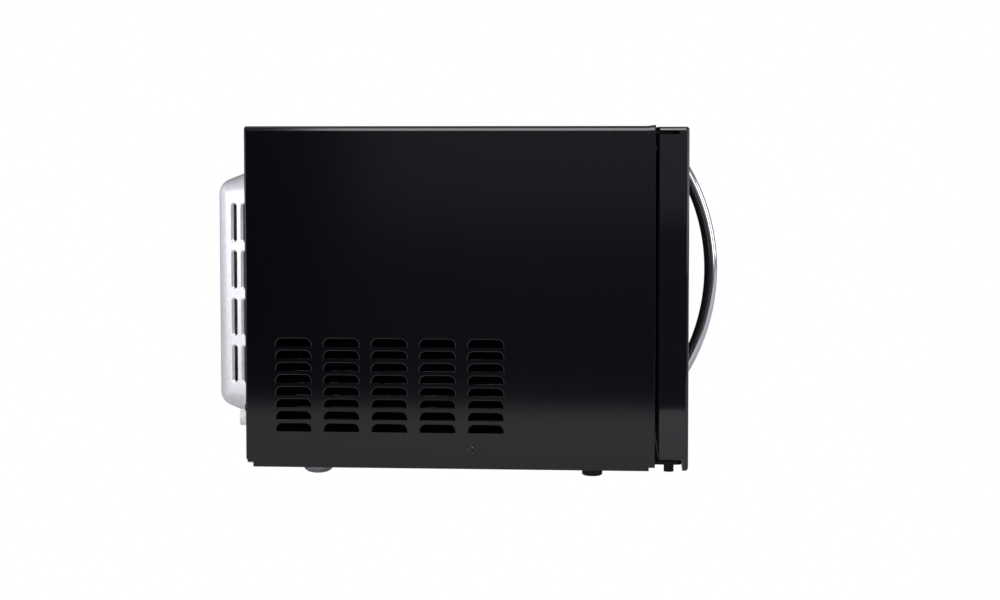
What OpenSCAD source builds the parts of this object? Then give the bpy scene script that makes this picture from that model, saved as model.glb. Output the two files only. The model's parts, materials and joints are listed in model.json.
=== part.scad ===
// Countertop combination oven (microwave, hot air and grill) with a side-hinged door.
// +Z is up, the front faces -Y and the user's left is -X. Origin: bottom centre, on the table.
// Millimetres.

/* [Cabinet] */
// Width of the cabinet, side to side
cabinet_w = 513; // [500:1:530]
// Height of the cabinet's top skin above the table
cabinet_h = 305; // [300:1:312]
// Depth of the cabinet wrap, front edge to rear edge
cabinet_d = 354.6; // [348:0.1:362]
// Height of the wrap's lower edge above the table
wrap_bottom = 9.3; // [8.5:0.1:10]
// Sheet metal thickness
sheet = 1.2; // [0.8:0.1:1.5]

/* [Louvres] */
// Louvre columns on each side
louvre_cols = 5; // [3:1:5]
// Louvre rows on each side
louvre_rows = 8; // [4:1:8]
// Width of one louvre
louvre_w = 32.4; // [26:0.2:34]
// Height of one louvre
louvre_h = 7.9; // [6:0.1:8.2]
// Distance between louvre columns
louvre_pitch_y = 41.8; // [40:0.1:43]
// Distance between louvre rows
louvre_pitch_z = 10.57; // [10:0.01:11]

/* [Door and handle] */
// Width of the door
door_w = 374.5; // [370:0.5:376]
// Depth of the door, front face to back face
door_d = 25.8; // [25:0.1:26]
// Radius of the handle's outer curve
bow_r = 213; // [205:1:220]
// Thickness of the handle bar
bow_t = 13.4; // [12:0.1:14]
// Width of the handle bar
bow_w = 17; // [14:0.5:20]
// How far the handle stands out from the door
bow_reach = 42; // [38:0.5:46]

/* [Oven] */
// Inside width of the oven cavity
cavity_w = 344; // [340:1:346]
// Inside depth of the oven cavity
cavity_d = 310; // [306:1:311]
// Inside height of the oven cavity
cavity_h = 226; // [220:1:228]
// Radius of the glass tray
tray_r = 143; // [130:1:146]

/* [Rear motor cover] */
// How far the motor cover stands out behind the cabinet
cover_reach = 49.6; // [46:0.1:51]

/* [Hidden] */
$fn = 64;

// Cabinet faces
side_x = cabinet_w / 2;
body_front = -165.6;
body_rear = body_front + cabinet_d;
plate_front = -163.6;
plate_back = plate_front + sheet;
inner_x = side_x - sheet;
base_z = wrap_bottom + 3.2;
base_top = base_z + sheet;
rear_outer = body_rear - sheet - 0.2;
rear_inner = rear_outer - sheet;

// Oven cavity, left of the component bay
cav_x0 = -236;
cav_x1 = cav_x0 + cavity_w;
cav_mid = (cav_x0 + cav_x1) / 2;
cav_y0 = plate_back;
cav_y1 = cav_y0 + cavity_d;
cav_z0 = 46;
cav_z1 = cav_z0 + cavity_h;
cav_back = cav_y1 + sheet;
bay_x0 = cav_x1 + sheet;
tray_y = (cav_y0 + cav_y1) / 2;

// Door and control panel
front_y = -194;
door_back = front_y + door_d;
door_x1 = -side_x + door_w;
door_z0 = 18.4;
door_z1 = 304.3;
lip_z = 9.5;
lip_t = 5;
panel_x0 = door_x1 + 1.5;
wall = 2.5;
glass_t = 3.2;
hinge_x = -248;
hinge_y = -177.5;
pin_r = 3;
run_gap = 0.06;
window_x0 = -216;
window_x1 = 50;
window_z0 = 60;
window_z1 = 256;

// Handle
bow_x = 83.5;
bow_z = 157;
bow_y = front_y - bow_reach + bow_r;
bow_seam = bow_r - 7;
bow_screw_dz = 112;

// Turntable
floor_gap = 0.3;
wheel_r = 6.7;
wheel_z = cav_z0 + floor_gap + wheel_r;
tray_z = wheel_z + wheel_r + floor_gap;
track_r = 95;
axle_r = 1.6;

// Hot air fan and its cover
air_z = 154;
cover_mid_z = 150.4;
cover_half_x = 102;
cover_half_z = 121.8;
cover_corner = 30;
cover_draft = 0.4;

// Cooling fan in the component bay
fan_x = 184;
fan_z = 150;
fan_r = 56;

module box(a, b) {
    translate(a)
        cube(b - a);
}

module cyl_x(y, z, r, x0, x1) {
    translate([x0, y, z])
        rotate([0, 90, 0])
            cylinder(r = r, h = x1 - x0);
}

module cyl_y(x, z, r, y0, y1) {
    translate([x, y1, z])
        rotate([90, 0, 0])
            cylinder(r = r, h = y1 - y0);
}

module cyl_z(x, y, r, z0, z1) {
    translate([x, y, z0])
        cylinder(r = r, h = z1 - z0);
}

// Rounded rectangle from a to b
module rounded(a, b, r) {
    translate([a[0] + r, a[1]])
        square([b[0] - a[0] - 2 * r, b[1] - a[1]]);
    translate([a[0], a[1] + r])
        square([b[0] - a[0], b[1] - a[1] - 2 * r]);
    for (x = [a[0] + r, b[0] - r], y = [a[1] + r, b[1] - r])
        translate([x, y])
            circle(r = r);
}

// Drawn outline in X and Z, made solid from y0 to y1
module slab_xz(y0, y1) {
    translate([0, y1, 0])
        rotate([90, 0, 0])
            linear_extrude(y1 - y0)
                children();
}

// Drawn outline in Y and Z, made solid from x0 to x1
module slab_yz(x0, x1) {
    translate([x0, 0, 0])
        rotate([90, 0, 90])
            linear_extrude(x1 - x0)
                children();
}

// Vertical or level slot with round ends, cut along Y
module slot_y(x, z, length, width, y0, y1, level = false) {
    half = (length - width) / 2;
    dx = level ? half : 0;
    dz = level ? 0 : half;
    box([x - dx - (level ? 0 : width / 2), y0, z - dz - (level ? width / 2 : 0)],
        [x + dx + (level ? 0 : width / 2), y1, z + dz + (level ? width / 2 : 0)]);
    cyl_y(x - dx, z - dz, width / 2, y0, y1);
    cyl_y(x + dx, z + dz, width / 2, y0, y1);
}

// Pan-head screw along -Y: head under the given face, shank into it
module screw_y(x, z, face, head_r, head_h, shank_r, shank_l) {
    difference() {
        cyl_y(x, z, head_r, face, face + head_h);
        box([x - head_r * 0.6, face + head_h * 0.5, z - 0.5], [x + head_r * 0.6, face + head_h + 1, z + 0.5]);
        box([x - 0.5, face + head_h * 0.5, z - head_r * 0.6], [x + 0.5, face + head_h + 1, z + head_r * 0.6]);
    }
    cyl_y(x, z, shank_r, face - shank_l, face + 0.1);
}

/* ---------- cabinet ---------- */

louvre_first_y = body_rear - 25.8;
louvre_top = wrap_bottom + 113;

function louvre_y(col) = louvre_first_y - louvre_w - col * louvre_pitch_y;
function louvre_z(row) = louvre_top - louvre_h - row * louvre_pitch_z;

// One louvre opening: flat at the bottom, rounded top corners
module louvre_outline() {
    r = 6.2;
    intersection() {
        rounded([0, louvre_h - 2 * r], [louvre_w, louvre_h], r - 0.01);
        square([louvre_w, louvre_h]);
    }
}

module louvre_openings() {
    for (col = [0 : louvre_cols - 1], row = [0 : louvre_rows - 1])
        translate([louvre_y(col), louvre_z(row)])
            louvre_outline();
}

// Pressed hoods of one column, leaning inward below each opening's top edge
module louvre_hoods(col) {
    y0 = louvre_y(col) + 4;
    translate([0, y0 + louvre_w - 8, 0])
        rotate([90, 0, 0])
            linear_extrude(louvre_w - 8)
                for (row = [0 : louvre_rows - 1])
                    translate([-inner_x, louvre_z(row)])
                        polygon([[-0.8, louvre_h + 0.4], [-0.8, louvre_h + 1.4], [5.4, 3], [4.7, 2.2]]);
}

module wrap_outline(x, top, r) {
    translate([-x, wrap_bottom])
        square([2 * x, top - wrap_bottom - r]);
    translate([-x + r, wrap_bottom])
        square([2 * (x - r), top - wrap_bottom]);
    for (s = [-1, 1])
        translate([s * (x - r), top - r])
            circle(r = r);
}

module outer_cabinet() {
    lip_rise = 1;
    lip_l = 9;
    notch_y = 6.4;
    notch_z = 6.5;
    flange = 12;
    color("black")
        difference() {
            union() {
                difference() {
                    slab_xz(body_front, body_rear)
                        wrap_outline(side_x, cabinet_h, 3);
                    slab_xz(body_front - 1, body_rear - sheet)
                        translate([0, -1])
                            wrap_outline(inner_x, cabinet_h - sheet + 1, 1.8);
                    slab_xz(body_rear - 2 * sheet, body_rear + 1)
                        translate([-inner_x + flange, wrap_bottom - 1])
                            square([2 * (inner_x - flange), cabinet_h - sheet - flange - wrap_bottom + 1]);
                }
                slab_yz(-side_x + 3, side_x - 3)
                    polygon([
                        [body_front, cabinet_h - sheet + 0.1], [body_front + lip_l, cabinet_h - sheet],
                        [body_front + lip_l, cabinet_h], [body_front, cabinet_h + lip_rise]
                    ]);
                for (col = [0 : louvre_cols - 1], s = [0, 1])
                    mirror([s, 0, 0])
                        louvre_hoods(col);
            }
            for (x = [-side_x - 1, side_x - sheet - 0.1])
                slab_yz(x, x + sheet + 1.1)
                    louvre_openings();
            for (x = rear_screw_x)
                cyl_y(x, 297.5, 1.8, body_rear - 3, body_rear + 1);
            for (s = [-1, 1], z = rear_screw_z)
                cyl_y(s * (inner_x - 6), z, 1.8, body_rear - 3, body_rear + 1);
            cyl_x(-8.5, 25, 1.8, -300, 300);
            box([-side_x - 1, body_front - 1, 0], [side_x + 1, body_front + 5.3, wrap_bottom + 2.9]);
            box([-side_x - 1, body_rear - notch_y, 0], [side_x + 1, body_rear + 1, wrap_bottom + notch_z]);
        }
}

foot_x = 226;
rear_foot_y = body_rear - 58.6;
front_foot_y = body_rear - 300.4;

// Pressed dome that is a rear foot
module foot_bowl(t) {
    rotate_extrude()
        polygon([
            [0, 0], [6.8 - t, 0], [9.2 - t, 0.7], [10.8 - t, 1.7], [12.3 - t, 3.2], [13.5 - t, 5.1],
            [14.2 - t, 7.6], [14.5 - t, base_z], [14.5 - t, base_top], [0, base_top]
        ]);
}

module base_plate() {
    flange_top = 34;
    color("lightgray")
        difference() {
            union() {
                box([-inner_x + 0.3, plate_front + 0.2, base_z], [inner_x - 0.3, rear_outer, base_top]);
                for (s = [-1, 1])
                    translate([s * foot_x, rear_foot_y, 0])
                        foot_bowl(0);
                for (s = [0, 1])
                    mirror([s, 0, 0])
                        box([-inner_x + 0.3, plate_back + 0.2, base_z], [-inner_x + 0.3 + sheet, rear_inner - 0.2, flange_top]);
            }
            for (s = [-1, 1]) {
                translate([s * foot_x, rear_foot_y, sheet + 0.1])
                    foot_bowl(sheet);
                cyl_z(s * foot_x, rear_foot_y, 12, base_z, base_top + 1);
                cyl_z(s * foot_x, front_foot_y, 2.2, 0, 20);
            }
            for (x = [-200 : 16 : -136], y = [-90, 20])
                box([x, y, base_z - 1], [x + 5, y + 60, base_top + 1]);
            for (x = [136 : 16 : 232])
                box([x, -96, base_z - 1], [x + 5, -46, base_top + 1]);
            cyl_x(-8.5, 25, 1.8, -300, 300);
        }
}

module rear_panel() {
    color("silver")
        difference() {
            slab_xz(rear_inner, rear_outer)
                translate([-inner_x + 0.5, base_top + 0.2])
                    square([2 * inner_x - 1, cabinet_h - sheet - base_top - 0.6]);
            cyl_y(cav_mid, air_z, 52, rear_inner - 1, rear_outer + 1);
            cyl_y(gland_x, gland_z, 7, rear_inner - 1, rear_outer + 1);
            for (s = [-1, 1], z = cover_screw_z)
                cyl_y(cav_mid + s * (cover_half_x + 3.5), z, 1.85, rear_inner - 1, rear_outer + 1);
            for (col = [-4 : 4], row = [-2 : 2])
                if (abs(col) + abs(row) < 6)
                    slot_y(fan_x + col * 12, fan_z + row * 22, 17, 6, rear_inner - 1, rear_outer + 1);
            for (col = [0 : 7])
                slot_y(60 + col * 24, 284, 18, 4, rear_inner - 1, rear_outer + 1, level = true);
            for (x = rear_screw_x)
                cyl_y(x, 297.5, 1.8, rear_inner - 1, rear_outer + 1);
            for (s = [-1, 1], z = rear_screw_z)
                cyl_y(s * (inner_x - 6), z, 1.8, rear_inner - 1, rear_outer + 1);
        }
}

gland_x = -178;
gland_z = 40;
rear_screw_x = [-200, -70, 70, 200];
rear_screw_z = [60, 190];

// One corner post of the pressed cover, inset towards the rear by the draft and the edge radius
module cover_layer(y, inset, t) {
    for (sx = [-1, 1], sz = [-1, 1])
        translate([
            cav_mid + sx * (cover_half_x - inset - cover_corner + t),
            y,
            cover_mid_z + sz * (cover_half_z - inset - cover_corner + t)
        ])
            rotate([90, 0, 0])
                cylinder(r = cover_corner - 2 * t, h = 0.05, $fn = 40);
}

// Solid of the pressed pan; t is how far it is taken inside the outer skin
module cover_form(t) {
    edge = 11;
    depth = cover_reach - t;
    draft = (cover_reach - edge) * cover_draft;
    hull() {
        cover_layer(rear_outer + 0.05, 0, t);
        cover_layer(rear_outer + depth - edge, draft, t);
        cover_layer(rear_outer + depth - 0.72 * edge, draft + 0.1 * edge + 0.6, t);
        cover_layer(rear_outer + depth - 0.45 * edge, draft + 0.27 * edge + 0.6, t);
        cover_layer(rear_outer + depth - 0.2 * edge, draft + 0.55 * edge + 0.6, t);
        cover_layer(rear_outer + depth - 0.05 * edge, draft + 0.82 * edge + 0.6, t);
        cover_layer(rear_outer + depth, draft + edge + 1.6, t);
    }
}

cover_slot_z = [[67.8, 103.4], [111, 146.8], [154.6, 191.2], [198, 234.8]];
cover_slot_y = [220.8, 211, 201.1];

module rear_vent_cover() {
    lug = 8;
    color("gainsboro")
        difference() {
            union() {
                cover_form(0);
                slab_xz(rear_outer, rear_outer + sheet)
                    rounded([cav_mid - cover_half_x - lug, cover_mid_z - 60],
                        [cav_mid + cover_half_x + lug, cover_mid_z + 60], 6);
            }
            translate([0, -0.2, 0])
                cover_form(sheet);
            for (span = cover_slot_z, y = cover_slot_y) {
                box([-300, y - 3.15, span[0] + 3.15], [200, y + 3.15, span[1] - 3.15]);
                cyl_x(y, span[0] + 3.15, 3.15, -300, 200);
                cyl_x(y, span[1] - 3.15, 3.15, -300, 200);
            }
            for (sx = [-1, 1], z = cover_screw_z)
                cyl_y(cav_mid + sx * (cover_half_x + 3.5), z, 1.8, rear_outer - 1, rear_outer + 3);
        }
}

cover_screw_z = [102, 203];

module cord_gland() {
    x = gland_x;
    z = gland_z;
    color("white")
        difference() {
            union() {
                cyl_y(x, z, 6.8, rear_inner - 3, rear_outer);
                cyl_y(x, z, 8.7, rear_outer, rear_outer + 17);
                cyl_y(x, z, 7.4, rear_outer + 17, rear_outer + 22);
                cyl_y(x, z, 8.6, rear_inner - 5, rear_inner - 1);
            }
            cyl_y(x, z, 3.6, rear_inner - 6, rear_outer + 30);
            for (k = [0 : 3])
                box([x - 9, rear_outer + 3 + k * 4, z - 1], [x - 7, rear_outer + 5 + k * 4, z + 1]);
        }
}

module front_feet() {
    color("black")
        for (s = [-1, 1])
            difference() {
                union() {
                    cyl_z(s * foot_x, front_foot_y, 8.95, 0.8, base_z);
                    cyl_z(s * foot_x, front_foot_y, 8.2, 0, 0.8);
                }
                cyl_z(s * foot_x, front_foot_y, 2.2, -1, base_z + 1);
                cyl_z(s * foot_x, front_foot_y, 4.6, -1, 5);
            }
}

module cabinet_screws() {
    color("black") {
        for (s = [0, 1])
            mirror([s, 0, 0])
                translate([-side_x, -8.5, 25])
                    rotate([0, 0, 90])
                        screw_y(0, 0, 0, 4.85, 2.2, 1.75, 6);
        for (x = rear_screw_x)
            screw_y(x, 297.5, body_rear, 4, 2, 1.75, 6);
        for (s = [-1, 1], z = rear_screw_z)
            screw_y(s * (inner_x - 6), z, body_rear, 4, 2, 1.75, 6);
    }
}

module chassis_screws() {
    color("silver") {
        for (s = [-1, 1]) {
            cyl_z(s * foot_x, front_foot_y, 4.4, 3, 5);
            cyl_z(s * foot_x, front_foot_y, 2.15, 4.9, base_top + 4);
        }
        for (sx = [-1, 1], z = cover_screw_z)
            screw_y(cav_mid + sx * (cover_half_x + 3.5), z, rear_outer + sheet, 3.4, 1.8, 1.75, 6);
        for (x = hinge_screw_x, z = hinge_screw_z)
            translate([x, plate_front - 1.8, z])
                mirror([0, 1, 0])
                    screw_y(0, 0, 0, 3, 1.2, 1.7, 6);
    }
}

/* ---------- oven cavity and front ---------- */

air_holes = 3;
vent_rows = 5;

module oven_cavity() {
    color("darkgray")
        difference() {
            slab_xz(cav_y0, cav_back)
                rounded([cav_x0 - sheet, cav_z0 - sheet], [bay_x0, cav_z1 + sheet], 7);
            slab_xz(cav_y0 - 1, cav_y1)
                rounded([cav_x0, cav_z0], [cav_x1, cav_z1], 6);
            for (i = [-2 : 2], j = [-2 : 2])
                if (abs(i) + abs(j) < 4)
                    cyl_y(cav_mid + i * 16, air_z + j * 16, air_holes, cav_y1 - 1, cav_back + 1);
            for (k = [0 : 15])
                cyl_y(cav_mid + 88 * cos(k * 22.5), air_z + 88 * sin(k * 22.5), air_holes,
                    cav_y1 - 1, cav_back + 1);
            for (i = [0 : 5], j = [0 : vent_rows - 1])
                cyl_x(60 + i * 12, 70 + j * 10, 2.5, cav_x0 - sheet - 1, cav_x0 + 1);
            for (i = [-1 : 1], j = [-1 : 1])
                cyl_x(lamp_y + i * 7, lamp_z + j * 7, 2.2, cav_x1 - 1, bay_x0 + 1);
            box([cav_x1 - 1, guide_y0 + 6, guide_z0 + 7], [bay_x0 + 1, guide_y0 + 58, guide_z1 - 7]);
            for (y = [grill_y[0], grill_y[3]])
                cyl_x(y, grill_z, 3.8, cav_x1 - 1, bay_x0 + 1);
            cyl_z(cav_mid, tray_y, 5.5, cav_z0 - sheet - 1, cav_z0 + 1);
        }
}

hook_x0 = 110.6;
hook_x1 = 113.1;
hook_z = [85, 225];

module front_plate() {
    color("dimgray")
        difference() {
            slab_xz(plate_front, plate_back)
                difference() {
                    translate([-inner_x + 0.4, base_top + 0.3])
                        square([2 * inner_x - 0.8, cabinet_h - sheet - base_top - 0.7]);
                    rounded([cav_x0, cav_z0], [cav_x1, cav_z1], 6);
                    for (z = hook_z)
                        translate([hook_x0 - 0.8, z - 15])
                            square([7, 26]);
                    translate([150, 120])
                        square([70, 90]);
                }
            for (x = hinge_screw_x, z = hinge_screw_z)
                cyl_y(x, z, 1.75, plate_front - 1, plate_back + 1);
        }
}

/* ---------- microwave supply ---------- */

guide_y0 = -60;
guide_y1 = 70;
guide_z0 = 138;
guide_z1 = 202;
guide_x1 = 130;
tube_y = 33;
tube_z = 170;

module waveguide() {
    color("silver")
        difference() {
            union() {
                box([bay_x0, guide_y0, guide_z0], [guide_x1, guide_y1, guide_z1]);
                box([bay_x0, guide_y0 - 8, guide_z0 - 8], [bay_x0 + sheet, guide_y1 + 8, guide_z1 + 8]);
            }
            box([bay_x0 - 1, guide_y0 + sheet, guide_z0 + sheet],
                [guide_x1 - sheet, guide_y1 - sheet, guide_z1 - sheet]);
            cyl_x(tube_y, tube_z, 11, guide_x1 - 2, guide_x1 + 1);
        }
}

module waveguide_cover() {
    color("tan")
        box([cav_x1 - 0.6, guide_y0 - 2, guide_z0 - 1], [cav_x1, guide_y0 + 66, guide_z1 + 1]);
}

module magnetron() {
    x0 = guide_x1 + 1;
    x1 = x0 + 58;
    color("silver") {
        difference() {
            box([x0, tube_y - 33, tube_z - 36], [x1, tube_y + 33, tube_z + 36]);
            box([x0 + 1.5, tube_y - 34, tube_z - 34.5], [x1 - 1.5, tube_y + 34, tube_z + 34.5]);
            cyl_x(tube_y, tube_z, 7.5, x0 - 1, x0 + 2);
        }
        cyl_x(tube_y, tube_z, 25, x0 + 1.5, x0 + 8);
        cyl_x(tube_y, tube_z, 19, x0 + 8, x1 - 8);
        cyl_x(tube_y, tube_z, 25, x1 - 8, x1 - 1.5);
        cyl_x(tube_y, tube_z, 7, x0 - 12, x0 + 1.5);
        difference() {
            box([x1, tube_y - 24, tube_z - 24], [x1 + 18, tube_y + 24, tube_z + 24]);
            box([x1 + 1, tube_y - 23, tube_z - 23], [x1 + 17, tube_y + 23, tube_z + 23]);
        }
    }
}

module magnetron_fins() {
    x0 = guide_x1 + 11.5;
    color("gainsboro")
        for (k = [0 : 6])
            difference() {
                box([x0 + k * 5.6, tube_y - 30, tube_z - 33], [x0 + k * 5.6 + 0.8, tube_y + 30, tube_z + 33]);
                cyl_x(tube_y, tube_z, 19.05, x0 + k * 5.6 - 1, x0 + k * 5.6 + 2);
            }
}

core_x = 182;
core_y = 76;

module transformer_core() {
    color("slategray")
        difference() {
            union() {
                box([core_x - 48, core_y - 30, base_top + 3], [core_x + 48, core_y + 30, base_top + 67]);
                box([core_x - 52, core_y - 34, base_top], [core_x + 52, core_y + 34, base_top + 3]);
            }
            for (s = [-1, 1])
                box([core_x + s * 24 - 8, core_y - 40, base_top + 15], [core_x + s * 24 + 8, core_y + 40, base_top + 55]);
        }
}

// Two coils around the core's middle limb
module transformer_windings() {
    color("chocolate")
        for (z = [base_top + 16, base_top + 37])
            difference() {
                box([core_x - 31.5, core_y - 42, z], [core_x + 31.5, core_y + 42, z + 17]);
                box([core_x - 16.3, core_y - 30.3, z - 1], [core_x + 16.3, core_y + 30.3, z + 18]);
            }
}

cap_x = 136;
cap_y = -36;
cap_h = 88;

module oval(rx, ry) {
    square([2 * rx, 2 * (ry - rx)], center = true);
    for (s = [-1, 1])
        translate([0, s * (ry - rx)])
            circle(r = rx);
}

module hv_capacitor() {
    color("lightsteelblue") {
        translate([cap_x, cap_y, base_top])
            linear_extrude(cap_h)
                oval(16, 27);
        for (s = [-1, 1])
            translate([cap_x, cap_y + s * 12, base_top + cap_h - 0.2]) {
                cylinder(r = 5, h = 6);
                translate([-0.4, -3, 5])
                    cube([0.8, 6, 9]);
            }
    }
}

module capacitor_clamp() {
    color("silver")
        difference() {
            union() {
                translate([cap_x, cap_y, base_top + 34])
                    linear_extrude(12)
                        oval(17.2, 28.2);
                box([cap_x + 16.2, cap_y - 8, base_top], [cap_x + 17.4, cap_y + 8, base_top + 36]);
                box([cap_x + 16.2, cap_y - 8, base_top], [cap_x + 30, cap_y + 8, base_top + 1.2]);
            }
            translate([cap_x, cap_y, base_top + 30])
                linear_extrude(20)
                    oval(16.05, 27.05);
        }
}

module hv_diode() {
    x = cap_x + 36;
    color("black") {
        cyl_y(x, base_top + 8, 4, cap_y - 12, cap_y + 12);
        cyl_y(x, base_top + 8, 0.7, cap_y - 24, cap_y + 24);
        cyl_z(x, cap_y + 24, 4, base_top, base_top + 8.7);
    }
}

module filter_board() {
    z = 258;
    color("darkgreen") {
        box([bay_x0 + 0.2, 62, z], [bay_x0 + 100, 146, z + 1.6]);
        translate([bay_x0 + 30, 90, z + 1.6])
            difference() {
                cylinder(r = 15, h = 14);
                translate([0, 0, -1])
                    cylinder(r = 7, h = 20);
            }
        box([bay_x0 + 56, 76, z + 1.6], [bay_x0 + 86, 90, z + 22]);
        box([bay_x0 + 56, 98, z + 1.6], [bay_x0 + 86, 108, z + 16]);
        box([bay_x0 + 52, 118, z + 1.6], [bay_x0 + 90, 126, z + 12]);
        cyl_x(122 + 12, z + 6, 3, bay_x0 + 54, bay_x0 + 86);
        for (x = [bay_x0 + 56, bay_x0 + 80])
            box([x, 131, z + 1.6], [x + 4, 137, z + 6]);
    }
}

/* ---------- cooling ---------- */

module fan_shroud() {
    y0 = 136;
    y1 = 180;
    color("whitesmoke")
        difference() {
            union() {
                cyl_y(fan_x, fan_z, fan_r + 4, y0, y1);
                slab_xz(y1 - 2.5, y1)
                    rounded([fan_x - 64, fan_z - 64], [fan_x + 64, fan_z + 64], 5);
                for (sx = [-1, 1], sz = [-1, 1])
                    cyl_y(fan_x + sx * 56, fan_z + sz * 56, 4, y1 - 1, rear_inner);
            }
            difference() {
                cyl_y(fan_x, fan_z, fan_r + 2, y0 - 1, y1 + 1);
                for (a = [30, 150, 270])
                    translate([fan_x, y0, fan_z])
                        rotate([0, a, 0])
                            translate([24.1, 0, -3])
                                cube([fan_r + 2 - 20, 4, 6]);
            }
        }
}

module fan_motor() {
    color("slategray")
        difference() {
            union() {
                cyl_y(fan_x, fan_z, 24.05, 122, 145);
                cyl_y(fan_x, fan_z, 7, 116, 147);
                box([fan_x - 20, 124, fan_z - 34], [fan_x + 20, 142, fan_z - 18]);
            }
            cyl_y(fan_x, fan_z, 2.5 + run_gap, 126, 160);
        }
}

module fan_blade() {
    color("white") {
        cyl_y(fan_x, fan_z, 2.5, 128, 150);
        cyl_y(fan_x, fan_z, 15, 149, 168);
        intersection() {
            cyl_y(fan_x, fan_z, fan_r - 1, 140, 180);
            for (a = [0 : 72 : 288])
                translate([fan_x, 158.5, fan_z])
                    rotate([0, a, 0])
                        translate([10, 0, 0])
                            rotate([28, 0, 0])
                                translate([0, -0.9, -17])
                                    cube([60, 1.8, 34]);
        }
    }
}

module air_duct() {
    color("whitesmoke")
        difference() {
            box([131, 70, 130], [200, 114, 212]);
            box([132.5, 69, 131.5], [198.5, 115, 210.5]);
        }
}

/* ---------- light, heat and turntable ---------- */

lamp_y = -85;
lamp_z = 236;

module lamp_socket() {
    color("ivory")
        difference() {
            box([bay_x0 + 0.2, lamp_y - 16, lamp_z - 16], [bay_x0 + 32, lamp_y + 16, lamp_z + 16]);
            box([bay_x0 - 1, lamp_y - 14.5, lamp_z - 14.5], [bay_x0 + 24, lamp_y + 14.5, lamp_z + 14.5]);
            cyl_x(lamp_y, lamp_z, 6.1, bay_x0 + 20, bay_x0 + 30);
        }
}

// A round bulb on a straight neck, its axis along X
module lamp_bulb() {
    r = 10;
    neck_r = 6;
    neck_end = 17;
    color("lightyellow")
        translate([bay_x0 + 13, lamp_y, lamp_z])
            rotate([0, 90, 0])
                rotate_extrude()
                    intersection() {
                        union() {
                            circle(r);
                            square([neck_r, neck_end]);
                        }
                        translate([0, -r])
                            square([r, r + neck_end]);
                    }
}

motor_z1 = cav_z0 - sheet;

module turntable_motor() {
    color("silver")
        difference() {
            union() {
                cyl_z(cav_mid, tray_y, 24, motor_z1 - 17, motor_z1 - 1);
                box([cav_mid - 33, tray_y - 7, motor_z1 - 1.2], [cav_mid + 33, tray_y + 7, motor_z1]);
                box([cav_mid - 10, tray_y + 20, motor_z1 - 15], [cav_mid + 10, tray_y + 32, motor_z1 - 3]);
            }
            cyl_z(cav_mid, tray_y, pin_r + run_gap, motor_z1 - 14, motor_z1 + 1);
        }
}

module turntable_coupler() {
    color("white") {
        cyl_z(cav_mid, tray_y, pin_r, motor_z1 - 12, cav_z0 + 3);
        cyl_z(cav_mid, tray_y, 10, cav_z0 + 2, tray_z - 3);
        for (a = [0, 120, 240])
            translate([cav_mid, tray_y, cav_z0 + 5])
                rotate([0, 0, a])
                    translate([0, -3, 0])
                        cube([19, 6, tray_z - cav_z0 - 5]);
    }
}

module glass_tray() {
    color("lightcyan")
        translate([cav_mid, tray_y, tray_z])
            rotate_extrude()
                polygon([
                    [0, 0], [tray_r - 18, 0], [tray_r - 4, 7], [tray_r, 10], [tray_r, 12], [tray_r - 2, 12.4],
                    [tray_r - 6, 10], [tray_r - 19, 4.5], [0, 4.5]
                ]);
}

ring_angles = [90, 210, 330];

module roller_ring() {
    color("whitesmoke")
        translate([cav_mid, tray_y, wheel_z]) {
            difference() {
                cylinder(r = 84, h = 5, center = true);
                cylinder(r = 77, h = 7, center = true);
            }
            for (a = ring_angles)
                rotate([0, 0, a]) {
                    translate([83, 0, 0])
                        rotate([0, 90, 0])
                            cylinder(r = 2.4, h = 8.4);
                    translate([83, 0, 0])
                        rotate([0, 90, 0])
                            cylinder(r = axle_r, h = 17);
                    translate([track_r + 3.6, 0, 0])
                        rotate([0, 90, 0])
                            cylinder(r = 2.4, h = 1.6);
                }
        }
}

module ring_wheel(k) {
    color("white")
        translate([cav_mid, tray_y, wheel_z])
            rotate([0, 0, ring_angles[k]])
                translate([track_r - 3, 0, 0])
                    rotate([0, 90, 0])
                        difference() {
                            cylinder(r = wheel_r, h = 6);
                            translate([0, 0, -1])
                                cylinder(r = axle_r + run_gap, h = 8);
                        }
}

module thermostat() {
    cylinder(r = 9, h = 8);
    translate([-11, -4, 0])
        cube([22, 8, 1.2]);
    for (s = [-1, 1])
        translate([s * 4 - 0.4, -3, 7.8])
            cube([0.8, 6, 8]);
}

module thermostats() {
    color("ivory") {
        translate([cav_mid, -20, cav_z1 + sheet])
            thermostat();
        translate([cav_x0 - sheet, -90, 215])
            rotate([0, -90, 0])
                scale(0.85)
                    thermostat();
        translate([guide_x1 + 59 + 18, tube_y, tube_z])
            rotate([0, 90, 0])
                thermostat();
    }
}

grill_y = [-75, -30, 15, 60];
grill_z = cav_z1 - 10;
rod_r = 3.3;

// Half-circle of heater rod, opening towards +X or -X
module rod_turn(x, y, side) {
    translate([x, y, grill_z])
        rotate([0, 0, side > 0 ? -90 : 90])
            rotate_extrude(angle = 180)
                translate([22.5, 0])
                    circle(r = rod_r);
}

module grill_heater() {
    left = cav_x0 + 46;
    right = cav_x1 - 50;
    color("darkslategray") {
        for (k = [0, 3])
            cyl_x(grill_y[k], grill_z, rod_r, left, bay_x0 + 12);
        for (k = [1, 2])
            cyl_x(grill_y[k], grill_z, rod_r, left, right);
        rod_turn(left, -52.5, -1);
        rod_turn(left, 37.5, -1);
        rod_turn(right, -7.5, 1);
        for (x = [left + 30, right - 30])
            box([x, grill_y[0] - 5, grill_z + 1.5], [x + 4, grill_y[3] + 5, cav_z1]);
    }
}

heater_y = 163;
heater_r = 82;

module convection_heater() {
    color("darkslategray") {
        translate([cav_mid, heater_y, air_z])
            rotate([90, 0, 0])
                rotate_extrude()
                    translate([heater_r, 0])
                        circle(r = rod_r);
        for (s = [-1, 1])
            cyl_y(cav_mid + s * 10, air_z + heater_r - 0.6, rod_r, heater_y, rear_inner - 1);
    }
}

drum_r = 97;
drum_y1 = 182;

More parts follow.
